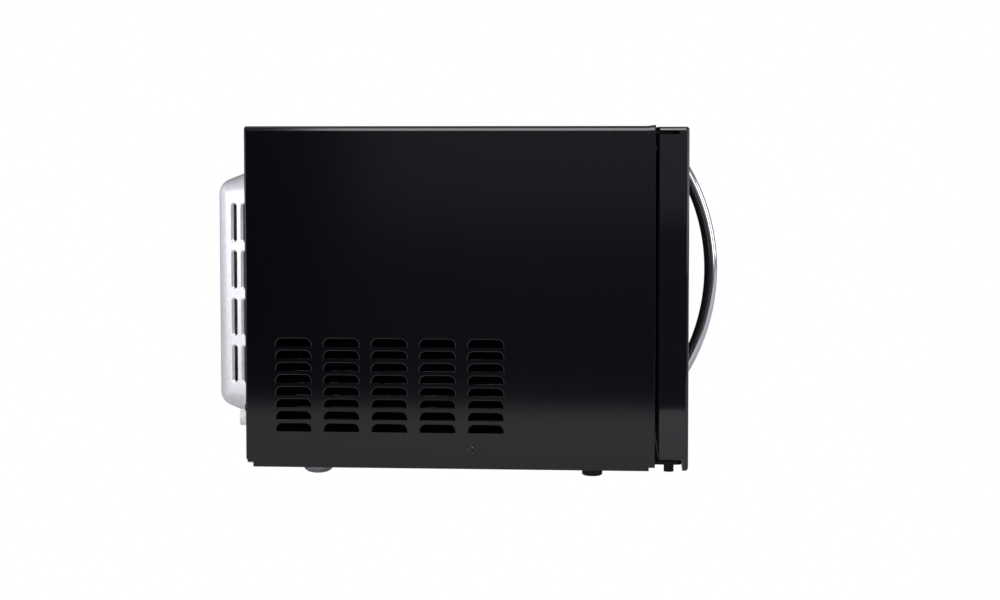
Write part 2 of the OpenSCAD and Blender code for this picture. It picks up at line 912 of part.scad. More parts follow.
module convection_housing() {
    color("silver")
        difference() {
            union() {
                cyl_y(cav_mid, air_z, drum_r, cav_back, drum_y1);
                cyl_y(cav_mid, air_z, drum_r + 8, cav_back, cav_back + sheet);
            }
            cyl_y(cav_mid, air_z, drum_r - sheet, cav_back - 1, drum_y1 - sheet);
            cyl_y(cav_mid, air_z, 7, cav_back, drum_y1 + 1);
            for (s = [-1, 1])
                cyl_y(cav_mid + s * 10, air_z + heater_r - 0.6, rod_r + 0.5, cav_back, drum_y1 + 1);
        }
}

shaft_r = 4;

module convection_motor() {
    y0 = rear_outer + 12;
    color("slategray")
        difference() {
            union() {
                cyl_y(cav_mid, air_z, 27, y0, y0 + 24);
                cyl_y(cav_mid, air_z, 9, y0 - 1, y0 + 28);
                box([cav_mid - 24, y0 + 3, air_z - 38], [cav_mid + 24, y0 + 21, air_z - 15]);
                box([cav_mid - 64, y0 - 1.5, air_z - 12], [cav_mid + 64, y0 + 0.5, air_z + 12]);
                for (s = [-1, 1])
                    box([cav_mid + s * 63 - 1, rear_outer, air_z - 12], [cav_mid + s * 63 + 1, y0, air_z + 12]);
            }
            cyl_y(cav_mid, air_z, shaft_r + run_gap, y0 - 3, y0 + 20);
        }
}

module convection_fan() {
    color("gainsboro") {
        cyl_y(cav_mid, air_z, shaft_r, 155, rear_outer + 28);
        cyl_y(cav_mid, air_z, 70, 173, 174.2);
        cyl_y(cav_mid, air_z, 11, 160, 178);
        cyl_y(cav_mid, air_z, 10, rear_outer + 1, rear_outer + 7);
        for (a = [0 : 36 : 324])
            translate([cav_mid, 0, air_z])
                rotate([0, a, 0])
                    translate([26, 155, -0.6])
                        cube([43, 18.5, 1.2]);
        for (a = [0 : 60 : 300])
            translate([cav_mid, rear_outer + 4, air_z])
                rotate([0, a, 0])
                    translate([6, 0, 0])
                        rotate([25, 0, 0])
                            translate([0, -0.5, -7])
                                cube([32, 1, 14]);
    }
}

/* ---------- control side ---------- */

key_z0 = 54;
key_h = 18;
key_w = 44;
start_x = 192;
stop_x = 140;
skin = 2.5;
lens = [[138, 238], [238, 276]];
pad = [[138, 82], [238, 226]];

module front_profile() {
    r = 2.5;
    translate([front_y + r, door_z0])
        square([door_d - r, door_z1 - door_z0]);
    translate([front_y, lip_z + r])
        square([lip_t, door_z1 - lip_z - 2 * r]);
    for (z = [lip_z + r, door_z1 - r])
        translate([front_y + r, z])
            circle(r = r);
}

module control_panel() {
    color("black")
        difference() {
            union() {
                slab_yz(panel_x0, side_x)
                    front_profile();
                box([panel_x0 + 3, door_back - 1, 22], [side_x - 3.5, plate_front, 301]);
            }
            box([panel_x0 + wall, front_y + skin, door_z0 + wall], [side_x - wall - 3.5, plate_front + 1, door_z1 - wall - 3.5]);
            slab_xz(front_y - 1, front_y + 5)
                rounded([lens[0][0], lens[1][0]], [lens[0][1], lens[1][1]], 3);
            slab_xz(front_y - 1, front_y + 0.8)
                rounded(pad[0], pad[1], 3);
            for (x = [start_x, stop_x])
                slab_xz(front_y - 1, front_y + 5)
                    rounded([x - 0.5, key_z0 - 0.5], [x + key_w + 0.5, key_z0 + key_h + 0.5], 3.5);
        }
}

module display_window() {
    color("dimgray")
        slab_xz(front_y + 0.2, front_y + skin)
            rounded([lens[0][0] + 0.1, lens[1][0] + 0.1], [lens[0][1] - 0.1, lens[1][1] - 0.1], 2.9);
}

module keypad() {
    color("black")
        slab_xz(front_y + 0.1, front_y + 0.8)
            rounded([pad[0][0] + 0.1, pad[0][1] + 0.1], [pad[1][0] - 0.1, pad[1][1] - 0.1], 2.9);
}

board_y = -178.4;

module control_board() {
    color("darkgreen") {
        box([128, board_y, 44], [247, board_y + 1.6, 290]);
        box([146, front_y + skin + 0.5, 241], [230, board_y, 273]);
        box([134, board_y + 1.6, 60], [168, plate_front - 3, 100]);
        for (x = [176, 200, 224])
            box([x, board_y + 1.6, 64], [x + 16, plate_front - 3, 86]);
        box([150, board_y + 1.6, 190], [180, board_y + 5, 220]);
        for (x = [start_x, stop_x])
            box([x + key_w / 2 - 3, board_y - 2.3, key_z0 + key_h / 2 - 3], [x + key_w / 2 + 3, board_y, key_z0 + key_h / 2 + 3]);
        for (x = [129, 243], z = [46, 285])
            cyl_y(x, z, 2, front_y + skin, board_y);
    }
}

module push_key(x) {
    mid_x = x + key_w / 2;
    mid_z = key_z0 + key_h / 2;
    slab_xz(front_y - 0.8, front_y + skin + 0.4)
        rounded([x, key_z0], [x + key_w, key_z0 + key_h], 3);
    box([x - 1.6, front_y + skin + 0.3, key_z0 - 1.6], [x + key_w + 1.6, front_y + skin + 1.5, key_z0 + key_h + 1.6]);
    cyl_y(mid_x, mid_z, 3, front_y + skin + 1.4, board_y - 3.7);
}

module start_key() {
    color("dimgray")
        push_key(start_x);
}

module stop_key() {
    color("dimgray")
        push_key(stop_x);
}

board_x = 118.4;

module latch_board() {
    color("white")
        difference() {
            union() {
                box([board_x, plate_back, 56], [board_x + 2.5, -108, 246]);
                box([board_x, plate_back, 56], [board_x + 12, plate_back + 2, 246]);
                for (z = hook_z)
                    box([hook_x0 - 0.8, -158, z - 22], [board_x + 0.5, -148, z - 10.6]);
            }
            for (z = [140, 176])
                cyl_x(-125, z, 8, board_x - 1, board_x + 4);
        }
}

switch_z = [92, 148, 200];

module door_switches() {
    color("black")
        for (z = switch_z) {
            box([board_x + 2.5, -154, z], [board_x + 13, -126, z + 16]);
            box([board_x + 5.5, -148, z + 16], [board_x + 9.5, -145, z + 17.5]);
            box([board_x + 5, -152, z + 17.4], [board_x + 10, -130, z + 18]);
        }
}

/* ---------- hinges and door ---------- */

neck = 5;
lower_z = [14.5, 17.7];
upper_z = [298.6, 300.8];
hinge_screw_x = [-241, -230];
hinge_screw_z = [31, 285];

module hinge_arm(z, nose = 0) {
    cyl_z(hinge_x, hinge_y - nose, neck, z[0], z[1]);
    box([hinge_x - neck, hinge_y - nose, z[0]], [hinge_x + neck, plate_front, z[1]]);
}

module hinge_plates() {
    flange_y = plate_front - 1.8;
    color("black") {
        hinge_arm(lower_z, 6.2);
        difference() {
            box([hinge_x - neck, flange_y, lower_z[0]], [-224, plate_front, 39]);
            cyl_y(hinge_screw_x[0], hinge_screw_z[0], 1.75, -170, -160);
            cyl_y(hinge_screw_x[1], hinge_screw_z[0], 1.75, -170, -160);
        }
        cyl_z(hinge_x, hinge_y, pin_r, 11, 30);
        cyl_z(hinge_x, hinge_y, 4.3, 11.2, lower_z[0] + 0.1);
        cyl_z(hinge_x, hinge_y, 3.8, 10.5, 11.3);
        cyl_z(hinge_x, hinge_y, 4.3, 8.2, 10.6);
        hinge_arm(upper_z);
        difference() {
            box([hinge_x - neck, flange_y, 276], [-224, plate_front, upper_z[1]]);
            cyl_y(hinge_screw_x[0], hinge_screw_z[1], 1.75, -170, -160);
            cyl_y(hinge_screw_x[1], hinge_screw_z[1], 1.75, -170, -160);
        }
        cyl_z(hinge_x, hinge_y, pin_r, 284, upper_z[0] + 0.1);
    }
}

glass_x = [-250, 111.5];
glass_z = [26, 298];
rib_z = 262;

module door_frame() {
    color("black")
        difference() {
            union() {
                difference() {
                    slab_yz(-side_x, door_x1)
                        front_profile();
                    box([-side_x + wall, front_y + 5.7, door_z0 + wall], [door_x1 - wall, door_back + 1, door_z1 - wall]);
                    slab_xz(front_y - 1, front_y + glass_t)
                        rounded([glass_x[0], glass_z[0]], [glass_x[1], glass_z[1]], 4);
                    slab_xz(front_y - 1, front_y + 8)
                        rounded([window_x0, window_z0], [window_x1, window_z1], 8);
                }
                box([110, front_y + 5.5, rib_z], [door_x1 - 1, front_y + 13, rib_z + 3]);
            }
            linear_extrude(400)
                polygon([[-side_x - 1, door_back - 4], [-side_x - 1, door_back + 1], [-side_x + 4, door_back + 1]]);
            box([-side_x - 1, hinge_y - 8, upper_z[0] - 0.6], [hinge_x, door_back + 1, upper_z[1] + 0.5]);
            cyl_z(hinge_x, hinge_y, 4, door_z0 - 1, door_z0 + wall + 1);
            for (s = [-1, 1])
                cyl_y(bow_x, bow_z + s * bow_screw_dz, 2.3, front_y, front_y + 8);
        }
}

module door_glass() {
    color("black")
        difference() {
            slab_xz(front_y, front_y + glass_t)
                rounded([glass_x[0] + 0.15, glass_z[0] + 0.15], [glass_x[1] - 0.15, glass_z[1] - 0.15], 3.85);
            for (s = [-1, 1])
                cyl_y(bow_x, bow_z + s * bow_screw_dz, 2.3, front_y - 1, front_y + 8);
        }
}

panel_x = [-253, 109.4];
panel_z = [24.2, 291.2];
panel_y = -173;

module door_panel() {
    color("gray")
        difference() {
            box([panel_x[0], -186, panel_z[0]], [panel_x[1], panel_y + sheet, panel_z[1]]);
            box([panel_x[0] + sheet, -187, panel_z[0] + sheet], [panel_x[1] - sheet, panel_y, panel_z[1] - sheet]);
            slab_xz(panel_y - 1, panel_y + 2)
                rounded([window_x0 + 14, window_z0 + 10], [window_x1 - 4, window_z1 - 10], 5);
            cyl_z(hinge_x, hinge_y, pin_r + run_gap, 0, 400);
        }
}

module door_film() {
    color("lightgray")
        box([window_x0 + 8, panel_y + sheet, window_z0 + 5], [window_x1 + 2, panel_y + sheet + 0.5, window_z1 - 5]);
}

module choke_cover() {
    color("black")
        slab_xz(panel_y + sheet + 0.5, door_back)
            difference() {
                rounded([-250.5, 25], [109, 296.5], 3);
                rounded([window_x0 + 11, window_z0 + 8], [window_x1 - 1, window_z1 - 8], 5);
            }
}

// The handle is a length of a large ring, so the inner and outer faces are both round
module bow(r0, r1) {
    intersection() {
        translate([bow_x, bow_y, bow_z])
            rotate([0, 90, 0])
                rotate([0, 0, 225])
                    rotate_extrude(angle = 90)
                        intersection() {
                            rounded([bow_r - bow_t, -bow_w / 2], [bow_r, bow_w / 2], 4.5);
                            translate([r0, -bow_w])
                                square([r1 - r0, 2 * bow_w]);
                        }
        box([0, -300, 0], [200, front_y, 400]);
    }
}

module handle_grip() {
    color("black")
        difference() {
            bow(bow_r - bow_t, bow_seam);
            for (s = [-1, 1])
                cyl_y(bow_x, bow_z + s * bow_screw_dz, 2.05, front_y - 6.5, front_y + 1);
        }
}

module handle_trim() {
    color("silver")
        difference() {
            bow(bow_seam, bow_r);
            for (s = [-1, 1])
                cyl_y(bow_x, bow_z + s * bow_screw_dz, 2.05, front_y - 6.5, front_y + 1);
        }
}

module handle_screws() {
    color("silver")
        for (s = [-1, 1]) {
            cyl_y(bow_x, bow_z + s * bow_screw_dz, 2, front_y - 6.2, front_y + 5.8);
            cyl_y(bow_x, bow_z + s * bow_screw_dz, 4, front_y + 5.7, front_y + 7.4);
        }
}

bar_y = [-186.8, -181];

module latch_hooks() {
    color("white") {
        box([hook_x0, bar_y[0], hook_z[0] - 8], [hook_x1, bar_y[1], hook_z[1] + 8]);
        for (z = hook_z) {
            box([hook_x0, bar_y[0], z - 5], [hook_x1, -144, z + 5]);
            slab_yz(hook_x0, hook_x1)
                polygon([[-147.4, z - 4.9], [-147.4, z - 10], [-145.5, z - 10], [-141, z - 3], [-141, z + 2], [-144.1, z + 5], [-144.1, z - 4.9]]);
        }
    }
}

module latch_spring() {
    x = (hook_x0 + hook_x1) / 2;
    color("silver")
        difference() {
            cyl_z(x, -184, 2.3, hook_z[1] + 8, rib_z);
            cyl_z(x, -184, 1.7, hook_z[1] + 7, rib_z + 1);
        }
}

outer_cabinet();
base_plate();
rear_panel();
rear_vent_cover();
cord_gland();
front_feet();
cabinet_screws();
chassis_screws();
oven_cavity();
front_plate();
waveguide();
waveguide_cover();
magnetron();
magnetron_fins();
transformer_core();
transformer_windings();
hv_capacitor();
capacitor_clamp();
hv_diode();
filter_board();
fan_shroud();
fan_motor();
fan_blade();
air_duct();
lamp_socket();
lamp_bulb();
turntable_motor();
turntable_coupler();
glass_tray();
roller_ring();
ring_wheel(0);  // ring_wheel_a
ring_wheel(1);  // ring_wheel_b
ring_wheel(2);  // ring_wheel_c
thermostats();
grill_heater();
convection_heater();
convection_housing();
convection_motor();
convection_fan();
control_panel();
display_window();
control_board();
keypad();
start_key();
stop_key();
latch_board();
door_switches();
hinge_plates();
door_frame();
door_glass();
door_panel();
door_film();
choke_cover();
handle_grip();
handle_trim();
handle_screws();
latch_hooks();
latch_spring();
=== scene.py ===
import json
import math

import bmesh
import bpy
from mathutils import Matrix, Vector


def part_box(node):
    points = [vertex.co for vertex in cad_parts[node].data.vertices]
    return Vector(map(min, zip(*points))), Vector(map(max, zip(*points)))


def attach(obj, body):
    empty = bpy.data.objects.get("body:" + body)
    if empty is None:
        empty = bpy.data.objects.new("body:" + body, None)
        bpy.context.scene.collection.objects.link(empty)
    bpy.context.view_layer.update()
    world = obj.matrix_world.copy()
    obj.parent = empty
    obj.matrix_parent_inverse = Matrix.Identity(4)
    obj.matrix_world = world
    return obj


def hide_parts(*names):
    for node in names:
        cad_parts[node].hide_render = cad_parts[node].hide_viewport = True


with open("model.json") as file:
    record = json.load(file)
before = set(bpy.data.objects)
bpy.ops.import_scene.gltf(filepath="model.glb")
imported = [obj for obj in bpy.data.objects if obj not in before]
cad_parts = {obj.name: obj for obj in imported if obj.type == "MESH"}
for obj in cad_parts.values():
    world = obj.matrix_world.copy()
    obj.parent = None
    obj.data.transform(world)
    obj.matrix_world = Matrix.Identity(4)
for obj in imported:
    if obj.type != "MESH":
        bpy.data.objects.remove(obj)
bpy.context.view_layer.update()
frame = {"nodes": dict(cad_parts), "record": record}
NODES = frame["nodes"]

# ---------------------------------------------------------------- camera, stage and light

CAMERA_AT = (-1.780, -0.1352, 0.3003)
CAMERA_YAW = math.radians(3.85)
CAMERA_PITCH = math.radians(-2.9)
CAMERA_ROLL = math.radians(-0.04)
CAMERA_LENS = 64.3
CAMERA_SHIFT = -0.078
TABLE_EDGE = -0.660
MM = 0.001


def make_camera():
    data = bpy.data.cameras.new("camera")
    data.lens = CAMERA_LENS
    data.sensor_width = 36
    data.shift_y = CAMERA_SHIFT
    camera = bpy.data.objects.new("camera", data)
    bpy.context.scene.collection.objects.link(camera)
    camera.location = CAMERA_AT
    ahead = Vector((math.cos(CAMERA_YAW), math.sin(CAMERA_YAW), math.tan(CAMERA_PITCH)))
    turn = ahead.to_track_quat("-Z", "Y").to_matrix().to_4x4()
    camera.rotation_euler = (turn @ Matrix.Rotation(CAMERA_ROLL, 4, "Z")).to_euler()
    bpy.context.scene.camera = camera


def make_stage():
    """A white table that ends just past the camera's side of the oven."""
    size = 6.0
    mesh = bpy.data.meshes.new("floor")
    near, far, half = TABLE_EDGE, size, size / 2
    mesh.from_pydata([(near, -half, 0), (far, -half, 0), (far, half, 0), (near, half, 0)], [], [(0, 1, 2, 3)])
    floor = bpy.data.objects.new("floor", mesh)
    bpy.context.scene.collection.objects.link(floor)
    material = bpy.data.materials.new("floor_white")
    material.use_nodes = True
    shader = material.node_tree.nodes["Principled BSDF"]
    shader.inputs["Base Color"].default_value = (0.58, 0.57, 0.6, 1)
    shader.inputs["Roughness"].default_value = 0.7
    tree = material.node_tree
    path = tree.nodes.new("ShaderNodeLightPath")
    seen = tree.nodes.new("ShaderNodeEmission")
    mix = tree.nodes.new("ShaderNodeMixShader")
    shader.inputs["Emission Color"].default_value = (1, 1, 1, 1)
    shader.inputs["Emission Strength"].default_value = 0.08
    tree.links.new(path.outputs["Is Camera Ray"], mix.inputs[0])
    tree.links.new(shader.outputs[0], mix.inputs[1])
    tree.links.new(seen.outputs[0], mix.inputs[2])
    tree.links.new(mix.outputs[0], tree.nodes["Material Output"].inputs["Surface"])
    mesh.materials.append(material)
    floor.location.z = -0.0002


def make_gap_shade():
    """A stage strip: the table's shade under the gap between the door and the cabinet."""
    low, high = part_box("door_frame")
    near, far, back = low[0] + 95 * MM, low[0] + 250 * MM, high[1]
    near_front, near_back = back - 2.7 * MM, back + 2.1 * MM
    far_front, far_back = back - 6.1 * MM, back - 1.0 * MM
    mesh = bpy.data.meshes.new("gap_shade")
    corners = [(near, near_front, 0), (far, far_front, 0), (far, far_back, 0), (near, near_back, 0)]
    mesh.from_pydata(corners, [], [(0, 1, 2, 3)])
    shade = bpy.data.objects.new("gap_shade", mesh)
    bpy.context.scene.collection.objects.link(shade)
    mesh.materials.append(shader_of("shaded_table", (0.03, 0.03, 0.033), roughness=0.8, specular=0.0)[0])
    shade.location.z = 0.0002


def faded(tree, value, start, end, top=1.0, base=0.0):
    """base where value is at start, top where it is at end."""
    node = tree.nodes.new("ShaderNodeMapRange")
    node.interpolation_type = "SMOOTHSTEP"
    node.inputs["From Min"].default_value = start
    node.inputs["From Max"].default_value = end
    node.inputs["To Min"].default_value = base
    node.inputs["To Max"].default_value = top
    tree.links.new(value, node.inputs["Value"])
    return node.outputs["Result"]


def combined(tree, operation, first, second):
    """Two values joined by one operation."""
    node = tree.nodes.new("ShaderNodeMath")
    node.operation = operation
    tree.links.new(first, node.inputs[0])
    tree.links.new(second, node.inputs[1])
    return node.outputs[0]


def make_world():
    """White to the camera; to the surfaces, a dim room, lighter overhead and at both ends, with a pale wall."""
    world = bpy.data.worlds.new("studio")
    bpy.context.scene.world = world
    world.use_nodes = True
    tree = world.node_tree
    tree.nodes.clear()
    output = tree.nodes.new("ShaderNodeOutputWorld")
    mix = tree.nodes.new("ShaderNodeMixShader")
    path = tree.nodes.new("ShaderNodeLightPath")
    seen = tree.nodes.new("ShaderNodeBackground")
    seen.inputs["Color"].default_value = (1, 1, 1, 1)
    lit = tree.nodes.new("ShaderNodeBackground")
    place = tree.nodes.new("ShaderNodeTexCoord")
    split = tree.nodes.new("ShaderNodeSeparateXYZ")
    tree.links.new(place.outputs["Generated"], split.inputs[0])
    x, y, z = split.outputs["X"], split.outputs["Y"], split.outputs["Z"]
    size = tree.nodes.new("ShaderNodeMath")
    size.operation = "ABSOLUTE"
    tree.links.new(y, size.inputs[0])
    ends = faded(tree, size.outputs[0], 0.2, 0.95, 0.34, 0.012)
    room = combined(tree, "ADD", ends, faded(tree, z, 0.15, 1.0, 0.16))
    room = combined(tree, "ADD", room, faded(tree, y, 0.6, 0.95, 0.7))
    wall = combined(tree, "MULTIPLY", faded(tree, x, -0.7, -0.9), faded(tree, y, 0.16, 0.138))
    wall = combined(tree, "MULTIPLY", wall, faded(tree, z, -0.06, -0.034, 0.3, 0.05))
    tree.links.new(combined(tree, "ADD", room, wall), lit.inputs["Strength"])
    lit.inputs["Color"].default_value = (0.90, 0.88, 1.0, 1)
    tree.links.new(path.outputs["Is Camera Ray"], mix.inputs[0])
    tree.links.new(lit.outputs[0], mix.inputs[1])
    tree.links.new(seen.outputs[0], mix.inputs[2])
    tree.links.new(mix.outputs[0], output.inputs["Surface"])


def area_light(name, at, toward, size, power):
    data = bpy.data.lights.new(name, "AREA")
    data.shape = "RECTANGLE"
    data.size, data.size_y = size
    data.energy = power
    light = bpy.data.objects.new(name, data)
    bpy.context.scene.collection.objects.link(light)
    light.location = at
    light.rotation_euler = (Vector(toward) - Vector(at)).to_track_quat("-Z", "Y").to_euler()


def make_lights():
    middle = (0, 0, 0.16)
    area_light("overhead", (0.1, 0.0, 1.6), middle, (1.4, 0.9), 3)
    area_light("over_camera", (-1.43, 0.0, 1.39), (-0.26, 0, 0.3), (0.85, 1.4), 22)
    area_light("left_of_camera", (-2.0, 2.0, 0.5), middle, (0.9, 1.2), 11.5)
    area_light("right_of_camera", (-2.0, -2.0, 0.6), middle, (0.9, 1.2), 8)
    area_light("front", (0.3, -2.2, 0.6), (0, 0, 0.25), (1.3, 0.9), 9)


# ---------------------------------------------------------------- materials


def shader_of(name, colour, metallic=0.0, roughness=0.5, specular=0.5, coat=0.0):
    """A new material with its principled shader set to plain constants."""
    material = bpy.data.materials.new(name)
    material.use_nodes = True
    shader = material.node_tree.nodes["Principled BSDF"]
    shader.inputs["Base Color"].default_value = (*colour, 1)
    shader.inputs["Metallic"].default_value = metallic
    shader.inputs["Roughness"].default_value = roughness
    shader.inputs["Specular IOR Level"].default_value = specular
    shader.inputs["Coat Weight"].default_value = coat
    shader.inputs["Coat Roughness"].default_value = 0.05
    return material, material.node_tree, shader


def noise(tree, scale, detail=3.0, stretch=None):
    """Noise in the frame's own metres; scale is in features per metre."""
    place = tree.nodes.new("ShaderNodeTexCoord")
    texture = tree.nodes.new("ShaderNodeTexNoise")
    texture.inputs["Scale"].default_value = scale
    texture.inputs["Detail"].default_value = detail
    if stretch:
        mapping = tree.nodes.new("ShaderNodeMapping")
        mapping.inputs["Scale"].default_value = stretch
        tree.links.new(place.outputs["Object"], mapping.inputs["Vector"])
        tree.links.new(mapping.outputs["Vector"], texture.inputs["Vector"])
    else:
        tree.links.new(place.outputs["Object"], texture.inputs["Vector"])
    return texture.outputs["Fac"]


def ranged(tree, value, low, high):
    """value, 0 to 1, taken to low to high."""
    node = tree.nodes.new("ShaderNodeMapRange")
    node.inputs["To Min"].default_value = low
    node.inputs["To Max"].default_value = high
    tree.links.new(value, node.inputs["Value"])
    return node.outputs["Result"]


def tinted(tree, value, dark, light):
    """A colour between dark and light."""
    node = tree.nodes.new("ShaderNodeMix")
    node.data_type = "RGBA"
    node.inputs["A"].default_value = (*dark, 1)
    node.inputs["B"].default_value = (*light, 1)
    tree.links.new(value, node.inputs["Factor"])
    return node.outputs["Result"]


def bumped(tree, shader, height, distance):
    """A fine bump on a shader, distance in metres."""
    bump = tree.nodes.new("ShaderNodeBump")
    bump.inputs["Strength"].default_value = 1.0
    bump.inputs["Distance"].default_value = distance
    tree.links.new(height, bump.inputs["Height"])
    tree.links.new(bump.outputs["Normal"], shader.inputs["Normal"])


def varied(name, dark, light, metallic, rough, scale, grain, depth, specular=0.5, coat=0.0, stretch=None):
    """Colour and roughness that vary a little over the surface, with a fine bump."""
    material, tree, shader = shader_of(name, light, metallic, rough[1], specular, coat)
    broad = noise(tree, scale, 4.0, stretch)
    fine = noise(tree, grain, 2.0, stretch)
    tree.links.new(tinted(tree, broad, dark, light), shader.inputs["Base Color"])
    tree.links.new(ranged(tree, broad, *rough), shader.inputs["Roughness"])
    bumped(tree, shader, fine, depth)
    return material


def spangled(name, dark, light, rough, cell, metallic=0.9):
    """Galvanised steel: flat crystals of slightly different grey."""
    material, tree, shader = shader_of(name, light, metallic, rough[1])
    place = tree.nodes.new("ShaderNodeTexCoord")
    cells = tree.nodes.new("ShaderNodeTexVoronoi")
    cells.inputs["Scale"].default_value = 1 / cell
    warp = tree.nodes.new("ShaderNodeMix")
    warp.data_type = "RGBA"
    warp.blend_type = "ADD"
    warp.inputs["Factor"].default_value = 0.006
    wobble = tree.nodes.new("ShaderNodeTexNoise")
    wobble.inputs["Scale"].default_value = 90
    tree.links.new(place.outputs["Object"], wobble.inputs["Vector"])
    tree.links.new(place.outputs["Object"], warp.inputs["A"])
    tree.links.new(wobble.outputs["Color"], warp.inputs["B"])
    tree.links.new(warp.outputs["Result"], cells.inputs["Vector"])
    grey = tree.nodes.new("ShaderNodeSeparateColor")
    tree.links.new(cells.outputs["Color"], grey.inputs["Color"])
    tree.links.new(tinted(tree, grey.outputs[0], dark, light), shader.inputs["Base Color"])
    tree.links.new(ranged(tree, grey.outputs[1], *rough), shader.inputs["Roughness"])
    bumped(tree, shader, noise(tree, 900, 3.0), 0.00004)
    return material


def glowing(name, colour, strength):
    """A material that gives light, nearly even over its surface."""
    material, tree, shader = shader_of(name, colour, 0.0, 0.4)
    shader.inputs["Emission Color"].default_value = (*colour, 1)
    flicker = noise(tree, 400, 1.0)
    tree.links.new(ranged(tree, flicker, 0.9 * strength, 1.1 * strength), shader.inputs["Emission Strength"])
    return material


def glassy(name, colour, roughness, ior=1.5):
    """Clear or tinted glass or film with a little smear."""
    material, tree, shader = shader_of(name, colour, 0.0, roughness)
    shader.inputs["Transmission Weight"].default_value = 1.0
    shader.inputs["IOR"].default_value = ior
    smear = noise(tree, 14, 2.0)
    tree.links.new(ranged(tree, smear, roughness, roughness + 0.03), shader.inputs["Roughness"])
    return material


